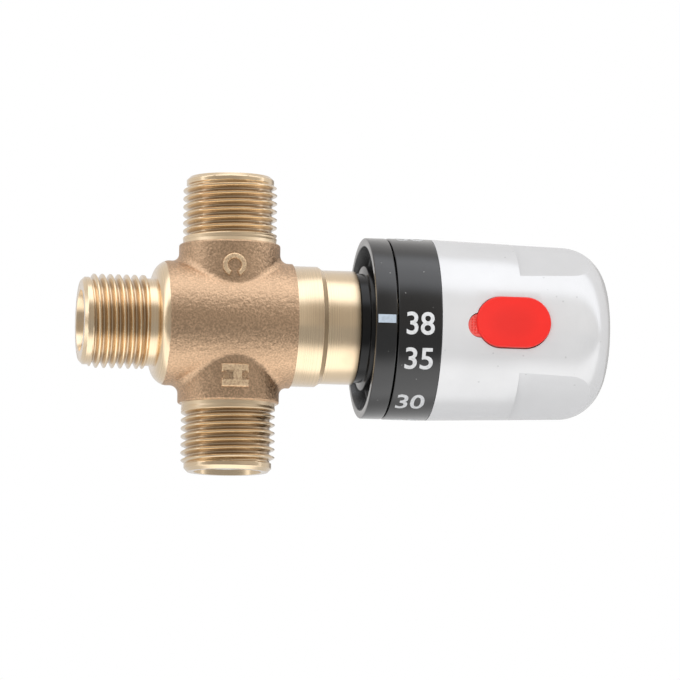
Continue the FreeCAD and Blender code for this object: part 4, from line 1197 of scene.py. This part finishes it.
class MixerStage(PropertyGroup):
    """Camera, lamp, surroundings and floor"""
    azimuth: FloatProperty(name="Azimuth", description="Camera's turn about Z from the button's side",
                           default=math.radians(-9.4), subtype="ANGLE", unit="ROTATION")
    elevation: FloatProperty(name="Elevation", description="Camera's height as an angle",
                             default=math.radians(-6.5), subtype="ANGLE", unit="ROTATION")
    roll: FloatProperty(name="Roll", description="Camera's turn about its own line of sight",
                        default=math.radians(0.55), subtype="ANGLE", unit="ROTATION")
    field_of_view: FloatProperty(name="Field of View", description="Across the frame",
                                 default=math.radians(5.56), subtype="ANGLE", unit="ROTATION")
    distance: FloatProperty(name="Distance", description="From the camera to the part", default=1.56,
                            subtype="DISTANCE", unit="LENGTH")
    aim_right: FloatProperty(name="Aim Right", description="Centre of the frame from the ports' axis",
                             default=24.79 * MM, subtype="DISTANCE", unit="LENGTH", precision=6)
    aim_up: FloatProperty(name="Aim Up", description="Centre of the frame above the knob axis",
                          default=-3.2 * MM, subtype="DISTANCE", unit="LENGTH", precision=6)
    floor_depth: FloatProperty(name="Floor Depth", description="Below the knob axis", default=0.30,
                               subtype="DISTANCE", unit="LENGTH")
    lamp_power: FloatProperty(name="Lamp Power", description="Of the soft fill from the front",
                              default=5.8, min=0.0, subtype="POWER", unit="POWER")
    even_level: FloatProperty(name="Even Level", description="Brightness of the soft light all round",
                              default=0.78, min=0.0)
    front_level: FloatProperty(name="Front Level", description="Brightness of the room in front",
                               default=0.42, min=0.0)
    band_level: FloatProperty(name="Band Level", description="Brightness overhead", default=1.9, min=0.0)
    floor_level: FloatProperty(name="Floor Level", description="Brightness that metal mirrors below it",
                               default=1.6, min=0.0)
    side_level: FloatProperty(name="Side Level", description="Brightness at the outlet's side",
                              default=0.62, min=0.0)
    right_level: FloatProperty(name="Right Level", description="Brightness at the knob's side",
                               default=0.60, min=0.0)
    back_level: FloatProperty(name="Back Level", description="Brightness behind the part",
                              default=0.76, min=0.0)


STEPS = (
    MIXER_OT_valve_body, MIXER_OT_pipe_threads, MIXER_OT_raised_letters, MIXER_OT_rings,
    MIXER_OT_index_mark, MIXER_OT_dial_numerals, MIXER_OT_handle, MIXER_OT_safety_button,
    MIXER_OT_tongue_grip, MIXER_OT_strainers, MIXER_OT_inside, MIXER_OT_stage,
)


class MIXER_PT_pieces(Panel):
    """Buttons that make each piece, with its sizes and colours"""
    bl_label = "Mixing Valve"
    bl_space_type = "VIEW_3D"
    bl_region_type = "UI"
    bl_category = "Mixing Valve"

    def draw(self, context):
        for step in STEPS:
            self.layout.operator(step.bl_idname)
        for group in ("mixing_valve_brass", "mixing_valve_knob", "mixing_valve_stage"):
            settings = getattr(context.scene, group)
            box = self.layout.box()
            for name in settings.__annotations__:
                box.prop(settings, name)


CLASSES = (MixerBrass, MixerKnob, MixerStage) + STEPS + (MIXER_PT_pieces,)


def register():
    for item in CLASSES:
        bpy.utils.register_class(item)
    bpy.types.Scene.mixing_valve_brass = PointerProperty(type=MixerBrass)
    bpy.types.Scene.mixing_valve_knob = PointerProperty(type=MixerKnob)
    bpy.types.Scene.mixing_valve_stage = PointerProperty(type=MixerStage)


def unregister():
    del bpy.types.Scene.mixing_valve_stage
    del bpy.types.Scene.mixing_valve_knob
    del bpy.types.Scene.mixing_valve_brass
    for item in reversed(CLASSES):
        bpy.utils.unregister_class(item)


def main():
    register()
    for step in STEPS:
        group, name = step.bl_idname.split(".")
        getattr(getattr(bpy.ops, group), name)()


if __name__ == "__main__":
    main()
